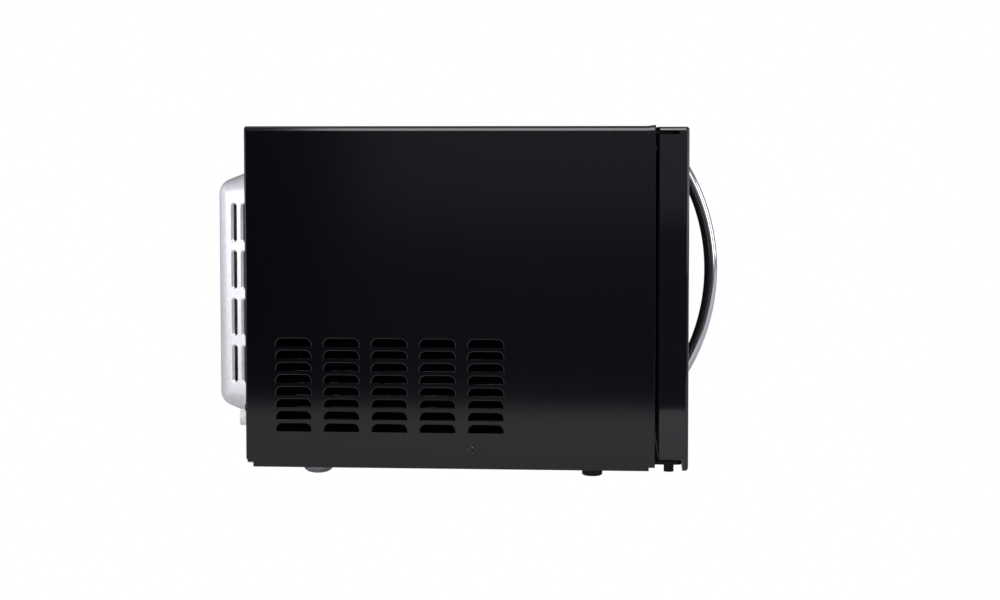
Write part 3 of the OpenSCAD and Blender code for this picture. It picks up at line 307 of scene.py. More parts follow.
MATERIALS = {
    "cabinet_black": varied("cabinet_paint", (0.0022, 0.0020, 0.0032), (0.0028, 0.0025, 0.0040), 0.0,
                            (0.11, 0.135), 9, 700, 0.000012, 0.5),
    "gloss_black": varied("gloss_black_plastic", (0.0024, 0.0022, 0.0034), (0.0030, 0.0027, 0.0042), 0.0,
                          (0.05, 0.08), 12, 300, 0.000006, 0.5, 0.3),
    "galvanised": spangled("galvanised_steel", (0.44, 0.45, 0.46), (0.56, 0.57, 0.58), (0.36, 0.48), 0.005),
    "bright_galvanised": spangled("bright_galvanised_steel", (0.80, 0.80, 0.81), (0.86, 0.86, 0.87),
                                  (0.34, 0.42), 0.004, 0.85),
    "nylon_white": varied("white_nylon", (0.80, 0.80, 0.78), (0.88, 0.88, 0.86), 0.0, (0.38, 0.5), 60, 1500,
                          0.00003),
    "foot_rubber": varied("foot_rubber", (0.012, 0.012, 0.012), (0.02, 0.02, 0.02), 0.0, (0.6, 0.8), 200, 2500,
                          0.00008),
    "black_screw": varied("black_screw_steel", (0.012, 0.012, 0.013), (0.03, 0.03, 0.032), 0.4, (0.25, 0.4), 500, 2500,
                          0.00002),
    "zinc_screw": varied("zinc_screw_steel", (0.50, 0.51, 0.54), (0.68, 0.68, 0.70), 1.0, (0.25, 0.4), 500, 2500,
                         0.00002),
    "cavity_enamel": varied("cavity_enamel", (0.20, 0.20, 0.205), (0.26, 0.26, 0.265), 0.0, (0.25, 0.4), 40, 1400,
                            0.00004, 0.5, 0.2),
    "front_plate_paint": varied("front_plate_paint", (0.012, 0.012, 0.013), (0.018, 0.018, 0.019), 0.0, (0.3, 0.42), 20,
                                900, 0.00003),
    "mica": varied("mica_sheet", (0.42, 0.35, 0.22), (0.62, 0.54, 0.38), 0.0, (0.3, 0.55), 90, 700, 0.00008, 0.6),
    "fin_aluminium": varied("fin_aluminium", (0.62, 0.63, 0.64), (0.78, 0.78, 0.79), 1.0, (0.28, 0.42), 120, 1500,
                            0.00003),
    "core_steel": varied("core_laminations", (0.10, 0.11, 0.13), (0.22, 0.23, 0.25), 0.8, (0.4, 0.6), 30, 900, 0.0001,
                         0.5, 0.0, (1, 60, 1)),
    "copper_enamel": varied("enamelled_copper", (0.30, 0.09, 0.03), (0.55, 0.20, 0.07), 0.9, (0.2, 0.35), 40, 700,
                            0.0001, 0.5, 0.4, (1, 1, 30)),
    "can_aluminium": varied("can_aluminium", (0.55, 0.57, 0.60), (0.70, 0.72, 0.74), 1.0, (0.3, 0.42), 50, 1200,
                            0.00004),
    "black_plastic": varied("black_plastic", (0.012, 0.012, 0.012), (0.02, 0.02, 0.02), 0.0, (0.42, 0.58), 80, 1800,
                            0.00005),
    "circuit_board": varied("circuit_board", (0.01, 0.07, 0.03), (0.02, 0.13, 0.06), 0.0, (0.3, 0.45), 300, 900,
                            0.00005),
    "grey_plastic": varied("grey_plastic", (0.48, 0.48, 0.47), (0.56, 0.56, 0.55), 0.0, (0.42, 0.55), 60, 1600,
                           0.00005),
    "motor_steel": varied("motor_steel", (0.38, 0.39, 0.41), (0.52, 0.53, 0.55), 1.0, (0.3, 0.45), 60, 1500, 0.00004),
    "ceramic_white": varied("ceramic", (0.72, 0.70, 0.64), (0.82, 0.80, 0.75), 0.0, (0.4, 0.55), 90, 1500, 0.00006),
    "heater_sheath": varied("heater_sheath", (0.03, 0.028, 0.026), (0.09, 0.085, 0.08), 0.7, (0.45, 0.65), 70, 900,
                            0.00008),
    "door_panel_paint": varied("door_panel_paint", (0.014, 0.014, 0.015), (0.02, 0.02, 0.021), 0.0, (0.35, 0.45), 30,
                               1200, 0.00003),
    "handle_black": varied("handle_black", (0.008, 0.008, 0.009), (0.012, 0.012, 0.013), 0.0, (0.10, 0.16), 30, 900,
                           0.00001, 0.5, 0.2),
    "handle_chrome": varied("handle_chrome", (0.70, 0.71, 0.74), (0.78, 0.79, 0.82), 1.0, (0.06, 0.12), 30, 900,
                            0.000008),
    "key_grey": varied("key_grey", (0.05, 0.05, 0.053), (0.07, 0.07, 0.073), 0.0, (0.35, 0.45), 60, 1500, 0.00004),
    "spring_steel": varied("spring_steel", (0.45, 0.45, 0.47), (0.6, 0.6, 0.62), 1.0, (0.2, 0.3), 300, 1500, 0.00002),
    "hinge_black": varied("hinge_black", (0.003, 0.003, 0.0035), (0.005, 0.005, 0.0055), 0.0, (0.45, 0.6), 80, 1400,
                          0.00004, 0.12),
    "lamp_glass": glassy("lamp_glass", (0.98, 0.95, 0.88), 0.02),
    "tray_glass": glassy("tray_glass", (0.90, 0.97, 0.96), 0.02),
    "door_glass_black": glassy("dark_door_glass", (0.06, 0.06, 0.065), 0.02),
    "display_lens": glassy("display_lens", (0.05, 0.055, 0.055), 0.03),
    "clear_film": glassy("clear_film", (0.92, 0.93, 0.93), 0.05, 1.3),
    "panel_print": varied("panel_print", (0.55, 0.55, 0.56), (0.62, 0.62, 0.63), 0.0, (0.4, 0.5), 90, 1500, 0.00001),
    "display_glow": glowing("display_glow", (0.25, 0.85, 1.0), 2.2),
    # Painted shade: near black with no specular reflection, for the deep insides of the louvres
    "louvre_shade": varied("louvre_shade", (0.0004, 0.0004, 0.0005), (0.0008, 0.0008, 0.0009), 0.0, (0.9, 1.0), 60, 900,
                           0.00002, 0.0),
}


SMALL_EDGE = {"door_frame": 1.2 * MM, "control_panel": 1.2 * MM, "front_feet": 0.6 * MM, "base_plate": 0.3 * MM,
              "start_key": 0.7 * MM, "stop_key": 0.7 * MM, "cord_gland": 0.6 * MM}


def paint_cad():
    """Every CAD node that stays takes the material of its slot."""
    slots = {s["node"]: s["material_slot"] for s in frame["record"]["subparts"]}
    for name, obj in NODES.items():
        obj.data.materials.clear()
        obj.data.materials.append(MATERIALS[slots[name]])
        if name == "chassis_screws":
            # The four screws of the hinge plates are black
            obj.data.materials.append(MATERIALS["black_screw"])
            for polygon in obj.data.polygons:
                if polygon.center.y < -0.15:
                    polygon.material_index = 1
        weld = obj.modifiers.new("weld", "WELD")
        weld.merge_threshold = 1e-6
        bevelled(obj, SMALL_EDGE.get(name, 0.25 * MM))


# ---------------------------------------------------------------- mesh helpers


def finish_piece(name, bm, material, body, smooth=True):
    """Turns a bmesh into an object that rides on a body."""
    bmesh.ops.remove_doubles(bm, verts=bm.verts, dist=1e-6)
    bmesh.ops.recalc_face_normals(bm, faces=bm.faces)
    mesh = bpy.data.meshes.new(name)
    bm.to_mesh(mesh)
    bm.free()
    for polygon in mesh.polygons:
        square = max(abs(part) for part in polygon.normal) > 0.99999
        polygon.use_smooth = smooth and not square
    materials = material if isinstance(material, (list, tuple)) else [material]
    for item in materials:
        mesh.materials.append(MATERIALS[item])
    obj = bpy.data.objects.new(name, mesh)
    bpy.context.scene.collection.objects.link(obj)
    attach(obj, body)
    return obj


def bevelled(obj, width, angle=35):
    modifier = obj.modifiers.new("soft_edges", "BEVEL")
    modifier.width = width
    modifier.segments = 2
    modifier.limit_method = "ANGLE"
    modifier.angle_limit = math.radians(angle)
    modifier.harden_normals = True
    return obj


def thickened(obj, thickness, offset=-1.0):
    modifier = obj.modifiers.new("sheet", "SOLIDIFY")
    modifier.thickness = thickness
    modifier.offset = offset
    return obj


def bridge(bm, first, second, closed=True):
    """Quads between two rings with the same number of points."""
    count = len(first)
    for i in range(count if closed else count - 1):
        j = (i + 1) % count
        bm.faces.new((first[i], first[j], second[j], second[i]))


def loft(bm, rings):
    """Quads between each ring of points and the next; returns the vertex rings."""
    rows = [[bm.verts.new(point) for point in ring] for ring in rings]
    for first, second in zip(rows, rows[1:]):
        bridge(bm, first, second)
    return rows


def fill_with_holes(bm, outer, holes):
    """Fills the flat area between one outer ring of vertices and the rings inside it."""
    edges = []
    for ring in [outer] + holes:
        for i, vert in enumerate(ring):
            other = ring[(i + 1) % len(ring)]
            edges.append(bm.edges.get((vert, other)) or bm.edges.new((vert, other)))
    bmesh.ops.triangle_fill(bm, edges=edges, use_beauty=True, use_dissolve=False)


def arc(centre, radius, start, end, steps):
    """Points of an arc in a plane, angles in degrees."""
    points = []
    for i in range(steps + 1):
        a = math.radians(start + (end - start) * i / steps)
        points.append((centre[0] + radius * math.cos(a), centre[1] + radius * math.sin(a)))
    return points


def rounded_outline(low, high, radius, steps=6):
    """A rectangle with round corners, anticlockwise from its lower right corner."""
    r = max(radius, 1e-5)
    points = []
    corners = (((high[0] - r, low[1] + r), -90), ((high[0] - r, high[1] - r), 0),
               ((low[0] + r, high[1] - r), 90), ((low[0] + r, low[1] + r), 180))
    for centre, start in corners:
        points += arc(centre, r, start, start + 90, steps)
    return points


def box_cutter(low, high):
    """A plain box that only cuts another piece and is then thrown away."""
    bm = bmesh.new()
    bmesh.ops.create_cube(bm, size=1)
    for vert in bm.verts:
        vert.co = Vector([low[i] if vert.co[i] < 0 else high[i] for i in range(3)])
    mesh = bpy.data.meshes.new("cutter")
    bm.to_mesh(mesh)
    bm.free()
    obj = bpy.data.objects.new("cutter", mesh)
    bpy.context.scene.collection.objects.link(obj)
    return obj


def cut(obj, cutters):
    """Takes the cutters out of a piece and keeps only the result."""
    for cutter in cutters:
        modifier = obj.modifiers.new("cut", "BOOLEAN")
        modifier.object = cutter
        modifier.solver = "EXACT"
    whole = obj.evaluated_get(bpy.context.evaluated_depsgraph_get())
    mesh = bpy.data.meshes.new_from_object(whole)
    obj.modifiers.clear()
    obj.data = mesh
    for cutter in cutters:
        bpy.data.objects.remove(cutter)


def swing(axis):
    """The frame that takes a lathe's own +Z to a direction in the frame."""
    return Vector(axis).to_track_quat("Z", "Y").to_matrix().to_4x4()


def lathe(bm, profile, at, axis, steps=32):
    """Turns (radius, height) points round an axis that starts at a place."""
    turn = Matrix.Translation(Vector(at)) @ swing(axis)
    rows = []
    for radius, height in profile:
        if radius < 1e-7:
            rows.append([bm.verts.new(turn @ Vector((0, 0, height)))])
            continue
        ring = []
        for i in range(steps):
            a = 2 * math.pi * i / steps
            ring.append(bm.verts.new(turn @ Vector((radius * math.cos(a), radius * math.sin(a), height))))
        rows.append(ring)
    for first, second in zip(rows, rows[1:]):
        if len(first) == 1 and len(second) == 1:
            continue
        if len(first) == 1 or len(second) == 1:
            tip, ring = (first, second) if len(first) == 1 else (second, first)
            for i in range(steps):
                bm.faces.new((ring[i], ring[(i + 1) % steps], tip[0]))
        else:
            bridge(bm, first, second)


def screw_head(bm, at, axis, radius, height):
    """A domed head with a cross recess, its flat side on the place given."""
    recess = 0.5
    turn = Matrix.Translation(Vector(at)) @ swing(axis)
    rings, steps = 16, 64
    rows = []
    for k in range(rings + 1):
        share = 1 - k / rings
        ring = []
        for i in range(steps):
            a = 2 * math.pi * i / steps
            u, v = radius * share * math.cos(a), radius * share * math.sin(a)
            top = height * (0.45 + 0.55 * math.sqrt(max(0.0, 1 - share ** 2.6)))
            arm = max(0.0, 1 - max(abs(u), abs(v)) / (0.62 * radius))
            slot = 1 - min(abs(u), abs(v)) / (0.15 * radius)
            if slot > 0 and arm > 0:
                top -= recess * height * min(1.0, 2.5 * slot) * min(1.0, 3 * arm)
            ring.append(bm.verts.new(turn @ Vector((u, v, top))))
        rows.append(ring)
    for first, second in zip(rows, rows[1:]):
        bridge(bm, first, second)
    skirt = [bm.verts.new(turn @ Vector((radius * math.cos(2 * math.pi * i / steps),
                                         radius * math.sin(2 * math.pi * i / steps), 0))) for i in range(steps)]
    bridge(bm, skirt, rows[0])


# ---------------------------------------------------------------- cabinet wrap

SHEET = 1.2 * MM
FOLD_RADIUS = 4.2 * MM
FRONT_RISE, FRONT_RISE_LENGTH = 1 * MM, 9 * MM


def cabinet_limits():
    """The wrap's half width, ends, lower edge and flat top, without the rise at its front lip."""
    low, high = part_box("outer_cabinet")
    return {"x": high[0], "front": low[1], "rear": high[1], "foot": low[2], "top": high[2] - FRONT_RISE}


LOUVRE = {"columns": 5, "rows": 8, "width": 32.4 * MM, "height": 7.9 * MM, "corner": 6.2 * MM,
          "pitch_y": 41.8 * MM, "pitch_z": 10.57 * MM, "from_rear": 25.8 * MM, "above_foot": 113 * MM}

# How far the skin has turned in, and how deep it lies, from the flat round the opening to the hood
LOUVRE_ROLL = [(-0.7, 0), (0, 0), (0.22, 0.05), (0.55, 0.25), (0.95, 0.62), (1.3, 1.15), (1.6, 1.9), (1.75, 3.0),
               (1.9, 4.4), (2.5, 5.2)]
LOUVRE_LIP_RINGS = 6


def louvre_ring(y, z, inset, depth, face_x, inward):
    """Points round one louvre: the two lower corners, and round corners at the top."""
    w, h = LOUVRE["width"], LOUVRE["height"]
    r = max(LOUVRE["corner"] - inset, 0.4 * MM)
    low_z = z + min(0.0, inset)
    left, right, top = y + inset, y + w - inset, z + h - inset
    points = [(right, low_z)] + arc((right - r, top - r), r, 0, 90, 8)
    points += arc((left + r, top - r), r, 90, 180, 8) + [(left, low_z)]
    return [(face_x + inward * depth, p[0], p[1]) for p in points]


def press_louvre(bm, y, z, face_x, inward):
    """One louvre with its hood, its deep end and back painted near black as shade; returns its outermost ring."""
    rings = [louvre_ring(y, z, a * MM, b * MM, face_x, inward) for a, b in LOUVRE_ROLL]
    rows = [[bm.verts.new(point) for point in ring] for ring in rings]
    for k, (first, second) in enumerate(zip(rows, rows[1:])):
        bridge(bm, first, second, closed=k < LOUVRE_LIP_RINGS)
    # Painted shade: the hood's back and its two deepest bands take the near-black louvre_shade material
    bm.faces.new(rows[-1]).material_index = 1
    for first, second in zip(rows[-3:], rows[-2:]):
        for i in range(len(first) - 1):
            face = bm.faces.get((first[i], first[i + 1], second[i + 1], second[i]))
            face.material_index = 1
    return rows[0]


def cabinet_section(inset, y, box, foot, block):
    """The wrap's outline in one plane across the cabinet, left foot to right foot."""
    x, top = box["x"] - inset, box["top"] - inset
    r = max(FOLD_RADIUS - inset, 0.3 * MM)
    rise = FRONT_RISE * max(0.0, 1 - (y - box["front"]) / FRONT_RISE_LENGTH) ** 1.4
    half = [(x, foot), (x, block[0]), (x, block[1]), (x, top - r - 1.2 * MM)]
    half += arc((x - r, top - r), r, 0, 90, 6) + [(x - r - 1.2 * MM, top)]
    points = []
    for px, pz in half:
        lift = rise * min(1.0, max(0.0, (pz - (top - r)) / r))
        points.append((px, y, pz + lift))
    left = [(-px, py, pz) for px, py, pz in points]
    return left + points[::-1]


def make_outer_cabinet():
    """The wrap with louvres on both sides and its folded edges, and a small black block under each lower rear corner as
    painted shade.
    """
    box = cabinet_limits()
    front, rear, foot = box["front"], box["rear"], box["foot"]
    top_row = foot + LOUVRE["above_foot"] - LOUVRE["height"]
    first = rear - LOUVRE["from_rear"] - LOUVRE["width"]
    last = first - (LOUVRE["columns"] - 1) * LOUVRE["pitch_y"]
    bottom_row = top_row - (LOUVRE["rows"] - 1) * LOUVRE["pitch_z"]
    block_z = (bottom_row - 3 * MM, top_row + LOUVRE["height"] + 3 * MM)
    block_y = (last - 3 * MM, first + LOUVRE["width"] + 3 * MM)
    step, notch = foot + 2.9 * MM, foot + 6.5 * MM
    hair = 0.02 * MM
    # place along the cabinet, how far inside the skin, and the height of the lower edge
    columns = [(front + 2.2 * MM, 1.3 * MM, step), (front + 0.5 * MM, 1.2 * MM, step),
               (front + 0.12 * MM, 0.95 * MM, step), (front, 0.6 * MM, step), (front + 0.12 * MM, 0.22 * MM, step),
               (front + 0.5 * MM, 0, step), (front + 1.3 * MM, 0, step), (front + 5.3 * MM, 0, step),
               (front + 5.3 * MM + hair, 0, foot), (front + FRONT_RISE_LENGTH, 0, foot), (block_y[0], 0, foot),
               (block_y[1], 0, foot), (rear - 6.4 * MM, 0, foot), (rear - 6.4 * MM + hair, 0, notch),
               (rear - 2.4 * MM, 0, notch), (rear - 1.4 * MM, 0, notch), (rear - 0.7 * MM, 0.19 * MM, notch),
               (rear - 0.19 * MM, 0.7 * MM, notch), (rear, 1.4 * MM, notch), (rear, 2.4 * MM, notch),
               (rear, 12 * MM, notch)]
    bm = bmesh.new()
    rows = [[bm.verts.new(p) for p in cabinet_section(inset, y, box, low, block_z)] for y, inset, low in columns]
    gap = columns.index((block_y[0], 0, foot))
    count = len(rows[0])
    holes_at = (1, count - 3)
    for k, (first_row, second_row) in enumerate(zip(rows, rows[1:])):
        for i in range(count - 1):
            if not (k == gap and i in holes_at):
                bm.faces.new((first_row[i], first_row[i + 1], second_row[i + 1], second_row[i]))
    for i, side in zip(holes_at, (-1, 1)):
        outer = [rows[gap][i], rows[gap][i + 1], rows[gap + 1][i + 1], rows[gap + 1][i]]
        holes = []
        for column in range(LOUVRE["columns"]):
            for row in range(LOUVRE["rows"]):
                holes.append(press_louvre(bm, first - column * LOUVRE["pitch_y"], top_row - row * LOUVRE["pitch_z"],
                                          side * box["x"], -side))
        fill_with_holes(bm, outer, holes)
    obj = finish_piece("cabinet_wrap", bm, ["cabinet_black", "louvre_shade"], "chassis")
    bevelled(thickened(obj, SHEET), 0.25 * MM, 50)
    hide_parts("outer_cabinet")
    # Painted shade: a small block in the wrap's black paint under each lower rear corner darkens the notch over the
    # base plate's corner
    bm = bmesh.new()
    for side in (-1, 1):
        x0, x1 = sorted((side * (box["x"] - 0.1 * MM), side * (box["x"] - 1.1 * MM)))
        ring = [(x0, rear - 6.2 * MM), (x1, rear - 6.2 * MM), (x1, rear - 1.2 * MM), (x0, rear - 1.2 * MM)]
        block = loft(bm, [[(px, py, z) for px, py in ring] for z in (notch - 2.1 * MM, notch + 0.1 * MM)])
        bm.faces.new(block[0])
        bm.faces.new(block[1])
    bevelled(finish_piece("cabinet_corner_shade", bm, "cabinet_black", "chassis", False), 0.2 * MM)


def make_cabinet_screws():
    """Black screws: one low on each side, and a row along the rear flanges."""
    box = cabinet_limits()
    bm = bmesh.new()
    for side in (-1, 1):
        screw_head(bm, (side * (box["x"] - 0.2 * MM), -8.5 * MM, 25 * MM), (side, 0, 0), 4.3 * MM, 2.0 * MM)
        for z in (60 * MM, 190 * MM):
            screw_head(bm, (side * (box["x"] - SHEET - 6 * MM), box["rear"], z), (0, 1, 0), 3.6 * MM, 2.0 * MM)
    for x in (-200, -70, 70, 200):
        screw_head(bm, (x * MM, box["rear"], 297.5 * MM), (0, 1, 0), 3.6 * MM, 2.0 * MM)
    obj = finish_piece("cabinet_screw_heads", bm, "black_screw", "chassis")
    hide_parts("cabinet_screws")


# ---------------------------------------------------------------- rear vent cover


def cover_ring(low, high, inset, y, corner):
    """A ring round the cover at one depth, drawn in by inset."""
    outline = rounded_outline((low[0] + inset, low[1] + inset), (high[0] - inset, high[1] - inset),
                              corner - inset, 8)
    return [(p[0], y, p[1]) for p in outline]


def pressed_slot(bm, y, z_low, z_high, radius, wall_x, outward):
    """An upright slot through a leaning wall, its rear edge pressed in as a flap; wall_x gives the wall at a depth."""
    rows = []
    for inset, depth, shift in ((-0.5, 0, 0), (0, 0, 0), (0.25, 0.12, 0.15), (0.6, 0.4, 0.5), (1.1, 1.0, 1.0),
                                (1.6, 1.8, 1.5)):
        r, middle = radius - inset * MM, y - shift * MM
        points = arc((middle, z_high - radius), r, 0, 180, 10) + arc((middle, z_low + radius), r, 180, 360, 10)
        rows.append([bm.verts.new((wall_x(p[0]) - outward * depth * MM, p[0], p[1])) for p in points])
    for first, second in zip(rows, rows[1:]):
        bridge(bm, first, second)
    return rows[0]


def make_rear_vent_cover():
    """The pressed cover with slotted side walls, and its two lugs."""
    box_low, box_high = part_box("rear_vent_cover")
    foot_y, back_y = box_low[1], box_high[1]
    middle_x = (box_low[0] + box_high[0]) / 2
    half_x, half_z = 102 * MM, (box_high[2] - box_low[2]) / 2
    middle_z = (box_low[2] + box_high[2]) / 2
    low, high = (middle_x - half_x, middle_z - half_z), (middle_x + half_x, middle_z + half_z)
    corner, lean, edge_r = 30 * MM, 0.4, 14.5 * MM
    lean_angle = math.atan(lean)
    slot_y = (220.8 * MM, 211 * MM, 201.1 * MM)
    spans = ((67.8, 103.4), (111, 146.8), (154.6, 191.2), (198, 234.8))
    slot_r = 3.15 * MM
    wall_end = back_y - edge_r * (1 - math.sin(lean_angle))
    band = (slot_y[2] - slot_r - 2 * MM, wall_end)

    def inset_at(y):
        return lean * (y - foot_y)

    layers = [(foot_y, inset_at(foot_y)), (band[0], inset_at(band[0])), (band[1], inset_at(band[1]))]
    for i in range(1, 11):
        a = lean_angle + (math.pi / 2 - lean_angle) * i / 10
        layers.append((wall_end + edge_r * (math.sin(a) - math.sin(lean_angle)),
                       inset_at(wall_end) + edge_r * (math.cos(lean_angle) - math.cos(a))))
    layers.append((back_y, layers[-1][1] + 1.5 * MM))
    bm = bmesh.new()
    rows = [[bm.verts.new(p) for p in cover_ring(low, high, inset, y, corner)] for y, inset in layers]
    count = len(rows[0])
    per_corner = count // 4
    walls = {per_corner - 1: 1, 3 * per_corner - 1: -1}
    for k, (first, second) in enumerate(zip(rows, rows[1:])):
        for i in range(count):
            j = (i + 1) % count
            if k == 1 and i in walls:
                continue
            bm.faces.new((first[i], first[j], second[j], second[i]))
    for i, outward in walls.items():
        outer = [rows[1][i], rows[1][i + 1], rows[2][i + 1], rows[2][i]]
        edge_x = high[0] if outward > 0 else low[0]
        holes = []
        for y in slot_y:
            for z0, z1 in spans:
                holes.append(pressed_slot(bm, y, z0 * MM, z1 * MM, slot_r,
                                          lambda place: edge_x - outward * inset_at(place), outward))
        fill_with_holes(bm, outer, holes)
    bm.faces.new(rows[-1])
    obj = finish_piece("vent_cover", bm, "bright_galvanised", "chassis")
    thickened(obj, 0.9 * MM)
    bm = bmesh.new()
    for side in (-1, 1):
        x0 = middle_x + side * (half_x - 0.5 * MM)
        x1 = middle_x + side * (half_x + 8 * MM)
        outline = rounded_outline((min(x0, x1), middle_z - 60 * MM), (max(x0, x1), middle_z + 60 * MM), 4 * MM)
        plate = loft(bm, [[(p[0], y, p[1]) for p in outline] for y in (foot_y, foot_y + SHEET)])
        bm.faces.new(plate[0])
        bm.faces.new(plate[1])
    bevelled(finish_piece("vent_cover_lugs", bm, "bright_galvanised", "chassis", False),
             0.2 * MM)
    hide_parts("rear_vent_cover")


# ---------------------------------------------------------------- handle

BOW_RADIUS = 213 * MM

def bow_point(radius, angle):
    """A point of the handle's curve: its middle is where it stands furthest out."""
    low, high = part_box("handle_trim")
    reach_y = low[1]
    centre_z = (low[2] + high[2]) / 2
    return reach_y + BOW_RADIUS - radius * math.cos(angle), centre_z + radius * math.sin(angle)


def sweep_bow(name, node, inner, outer, profile, material):
    """Sweeps a profile, given across the bar, along the handle's arc down to the door's face."""
    low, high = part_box(node)
    x_mid = (low[0] + high[0]) / 2
    face_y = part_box("door_frame")[0][1]
    reach_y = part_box("handle_trim")[0][1]
    bm = bmesh.new()
    rings = []
    steps = 72
    for k in range(steps + 1):
        share = -1 + 2 * k / steps
        ring = []
        for across, out in profile:
            radius = inner + (outer - inner) * out
            limit = math.acos((reach_y + BOW_RADIUS - face_y) / radius)
            y, z = bow_point(radius, share * limit)
            ring.append((x_mid + across, min(y, face_y), z))
        rings.append(ring)
    rows = loft(bm, rings)
    bm.faces.new(rows[0])
    bm.faces.new(rows[-1])
    obj = finish_piece(name, bm, material, "door")
    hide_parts(node)


def half_round(half_width, corner_share, outer_side):
    """A bar's profile: round on one side, flat on the other. The second value runs from 0 to 1."""
    steps = 8
    points = []
    for i in range(steps + 1):
        a = math.radians(180 * i / steps)
        bulge = math.sin(a) ** 0.75
        points.append((half_width * math.cos(a), corner_share + (1 - corner_share) * bulge))
    points += [(-half_width, corner_share * 0.5), (-half_width * 0.995, 0.0), (half_width * 0.995, 0.0),
               (half_width, corner_share * 0.5)]
    if not outer_side:
        points = [(p[0], 1 - p[1]) for p in points]
    return points


def make_handle():
    """A black inner bar and a bright outer bar that meet at the seam."""
    thick, seam, half = 13.4 * MM, 206 * MM, 8.5 * MM
    sweep_bow("handle_bar", "handle_grip", BOW_RADIUS - thick, seam, half_round(half, 0.35, False), "handle_black")
    sweep_bow("handle_face", "handle_trim", seam, BOW_RADIUS, half_round(half, 0.35, True), "handle_chrome")


# ---------------------------------------------------------------- door


def frame_ring(low, high, inset, y, radius, foot=None):
    """A ring round the door at one depth; foot, where given, is the height of its lower edge."""
    points = rounded_outline((low[0] + inset, low[2] + inset), (high[0] - inset, high[2] - inset), radius)
    if foot is not None:
        middle = (low[2] + high[2]) / 2
        points = [(x, z + foot - low[2] if z < middle else z) for x, z in points]
    return [(x, y, z) for x, z in points]


def make_door_frame():
    """The door's surround: glass pocket, rolled front edge, front lip below, open back."""
    low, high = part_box("door_frame")
    front, back = low[1], high[1]
    foot, wall, corner = 18.4 * MM, 2.5 * MM, 3.2 * MM
    pocket_low, pocket_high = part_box("door_glass")
    pocket = [(x, z) for x, z in rounded_outline((pocket_low[0] - 0.1 * MM, pocket_low[2] - 0.1 * MM),
                                                 (pocket_high[0] + 0.1 * MM, pocket_high[2] + 0.1 * MM), 4 * MM)]
    window = rounded_outline((-216 * MM, 60 * MM), (50 * MM, 256 * MM), 8 * MM)
    floor_y, inner_y = pocket_high[1] + 0.05 * MM, front + 5.7 * MM
    rings = [[(x, inner_y, z) for x, z in window], [(x, floor_y, z) for x, z in window],
             [(x, floor_y, z) for x, z in pocket], [(x, front + 0.4 * MM, z) for x, z in pocket]]
    r = 2.5 * MM
    rings.append([(x + (0.3 * MM if x > 0 else -0.3 * MM), front, z + (0.3 * MM if z > 0.15 else -0.3 * MM))
                  for x, z in pocket])
    for i in range(7):
        a = math.radians(15 * i)
        rings.append(frame_ring(low, high, r * (1 - math.sin(a)), front + r * (1 - math.cos(a)), corner))
    guard = 0.7 * MM
    lip_back = front + 5 * MM
    rings += [frame_ring(low, high, 0, front + r + guard, corner), frame_ring(low, high, 0, lip_back, corner),
              frame_ring(low, high, 0, lip_back, corner, foot),
              frame_ring(low, high, 0, lip_back + guard, corner, foot)]
    slope = 0.95 * MM
    rings += [frame_ring(low, high, 0, back - slope - guard, corner, foot),
              frame_ring(low, high, 0, back - slope, corner, foot), frame_ring(low, high, slope, back, corner, foot)]
    rings += [frame_ring(low, high, wall, back, 1.5 * MM, foot), frame_ring(low, high, wall, inner_y, 1.5 * MM, foot)]
    rings.append(rings[0])
    bm = bmesh.new()
    loft(bm, rings)
    frame_obj = finish_piece("door_surround", bm, "gloss_black", "door")
    # A slot for the upper hinge arm and a hole for the lower pin
    slots = [box_cutter((low[0] - MM, -185.5 * MM, 298.0 * MM), (-248 * MM, back + MM, 301.3 * MM)),
             box_cutter((-252 * MM, -181.5 * MM, foot - MM), (-244 * MM, -173.5 * MM, foot + wall + MM))]
    cut(frame_obj, slots)
    edges = frame_obj.modifiers.new("flat_faces", "EDGE_SPLIT")
    edges.split_angle = math.radians(32)
    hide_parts("door_frame")


def make_door_screen():
    """The perforated screen in the door's steel panel, seen through the glass."""
    low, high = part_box("door_film")
    y0 = low[1] - 0.6 * MM
    pitch, hole = 4.4 * MM, 1.55 * MM
    columns, rows = int((high[0] - low[0]) / pitch), int((high[2] - low[2]) / pitch)
    x_first = (low[0] + high[0] - columns * pitch) / 2
    z_first = (low[2] + high[2] - rows * pitch) / 2
    rim = ((0.5, 0), (0.5, 0.5), (0, 0.5), (-0.5, 0.5), (-0.5, 0), (-0.5, -0.5), (0, -0.5), (0.5, -0.5))
    bm = bmesh.new()
    for i in range(columns):
        for k in range(rows):
            x, z = x_first + (i + 0.5) * pitch, z_first + (k + 0.5) * pitch
            outer = [bm.verts.new((x + a * pitch, y0, z + b * pitch)) for a, b in rim]
            inner = []
            for n in range(8):
                a = math.radians(45 * n)
                inner.append(bm.verts.new((x + hole * math.cos(a), y0, z + hole * math.sin(a))))
            bridge(bm, outer, inner)
    obj = finish_piece("door_screen", bm, "door_panel_paint", "door", False)
    thickened(obj, 0.4 * MM, 0)


# ---------------------------------------------------------------- control panel markings


def lettering(name, text, at, size, material):
    """Raised print on the panel, facing the user."""
    curve = bpy.data.curves.new(name, "FONT")
    curve.body = text
    curve.size = size
    curve.align_x = "CENTER"
    curve.align_y = "CENTER"
    curve.extrude = 0.03 * MM
    carrier = bpy.data.objects.new(name + "_curve", curve)
    bpy.context.scene.collection.objects.link(carrier)
    whole = carrier.evaluated_get(bpy.context.evaluated_depsgraph_get())
    mesh = bpy.data.meshes.new_from_object(whole)
    bpy.data.objects.remove(carrier)
    mesh.transform(Matrix.Translation(Vector(at)) @ Matrix.Rotation(math.radians(90), 4, "X"))
    mesh.materials.clear()
    mesh.materials.append(MATERIALS[material])
    obj = bpy.data.objects.new(name, mesh)
    bpy.context.scene.collection.objects.link(obj)
    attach(obj, "chassis")


SEGMENTS = {"0": "abcdef", "1": "bc", "2": "abged", "3": "abgcd", "4": "fgbc", "5": "afgcd", "6": "afgedc", "7": "abc",
            "8": "abcdefg", "9": "abcdfg"}


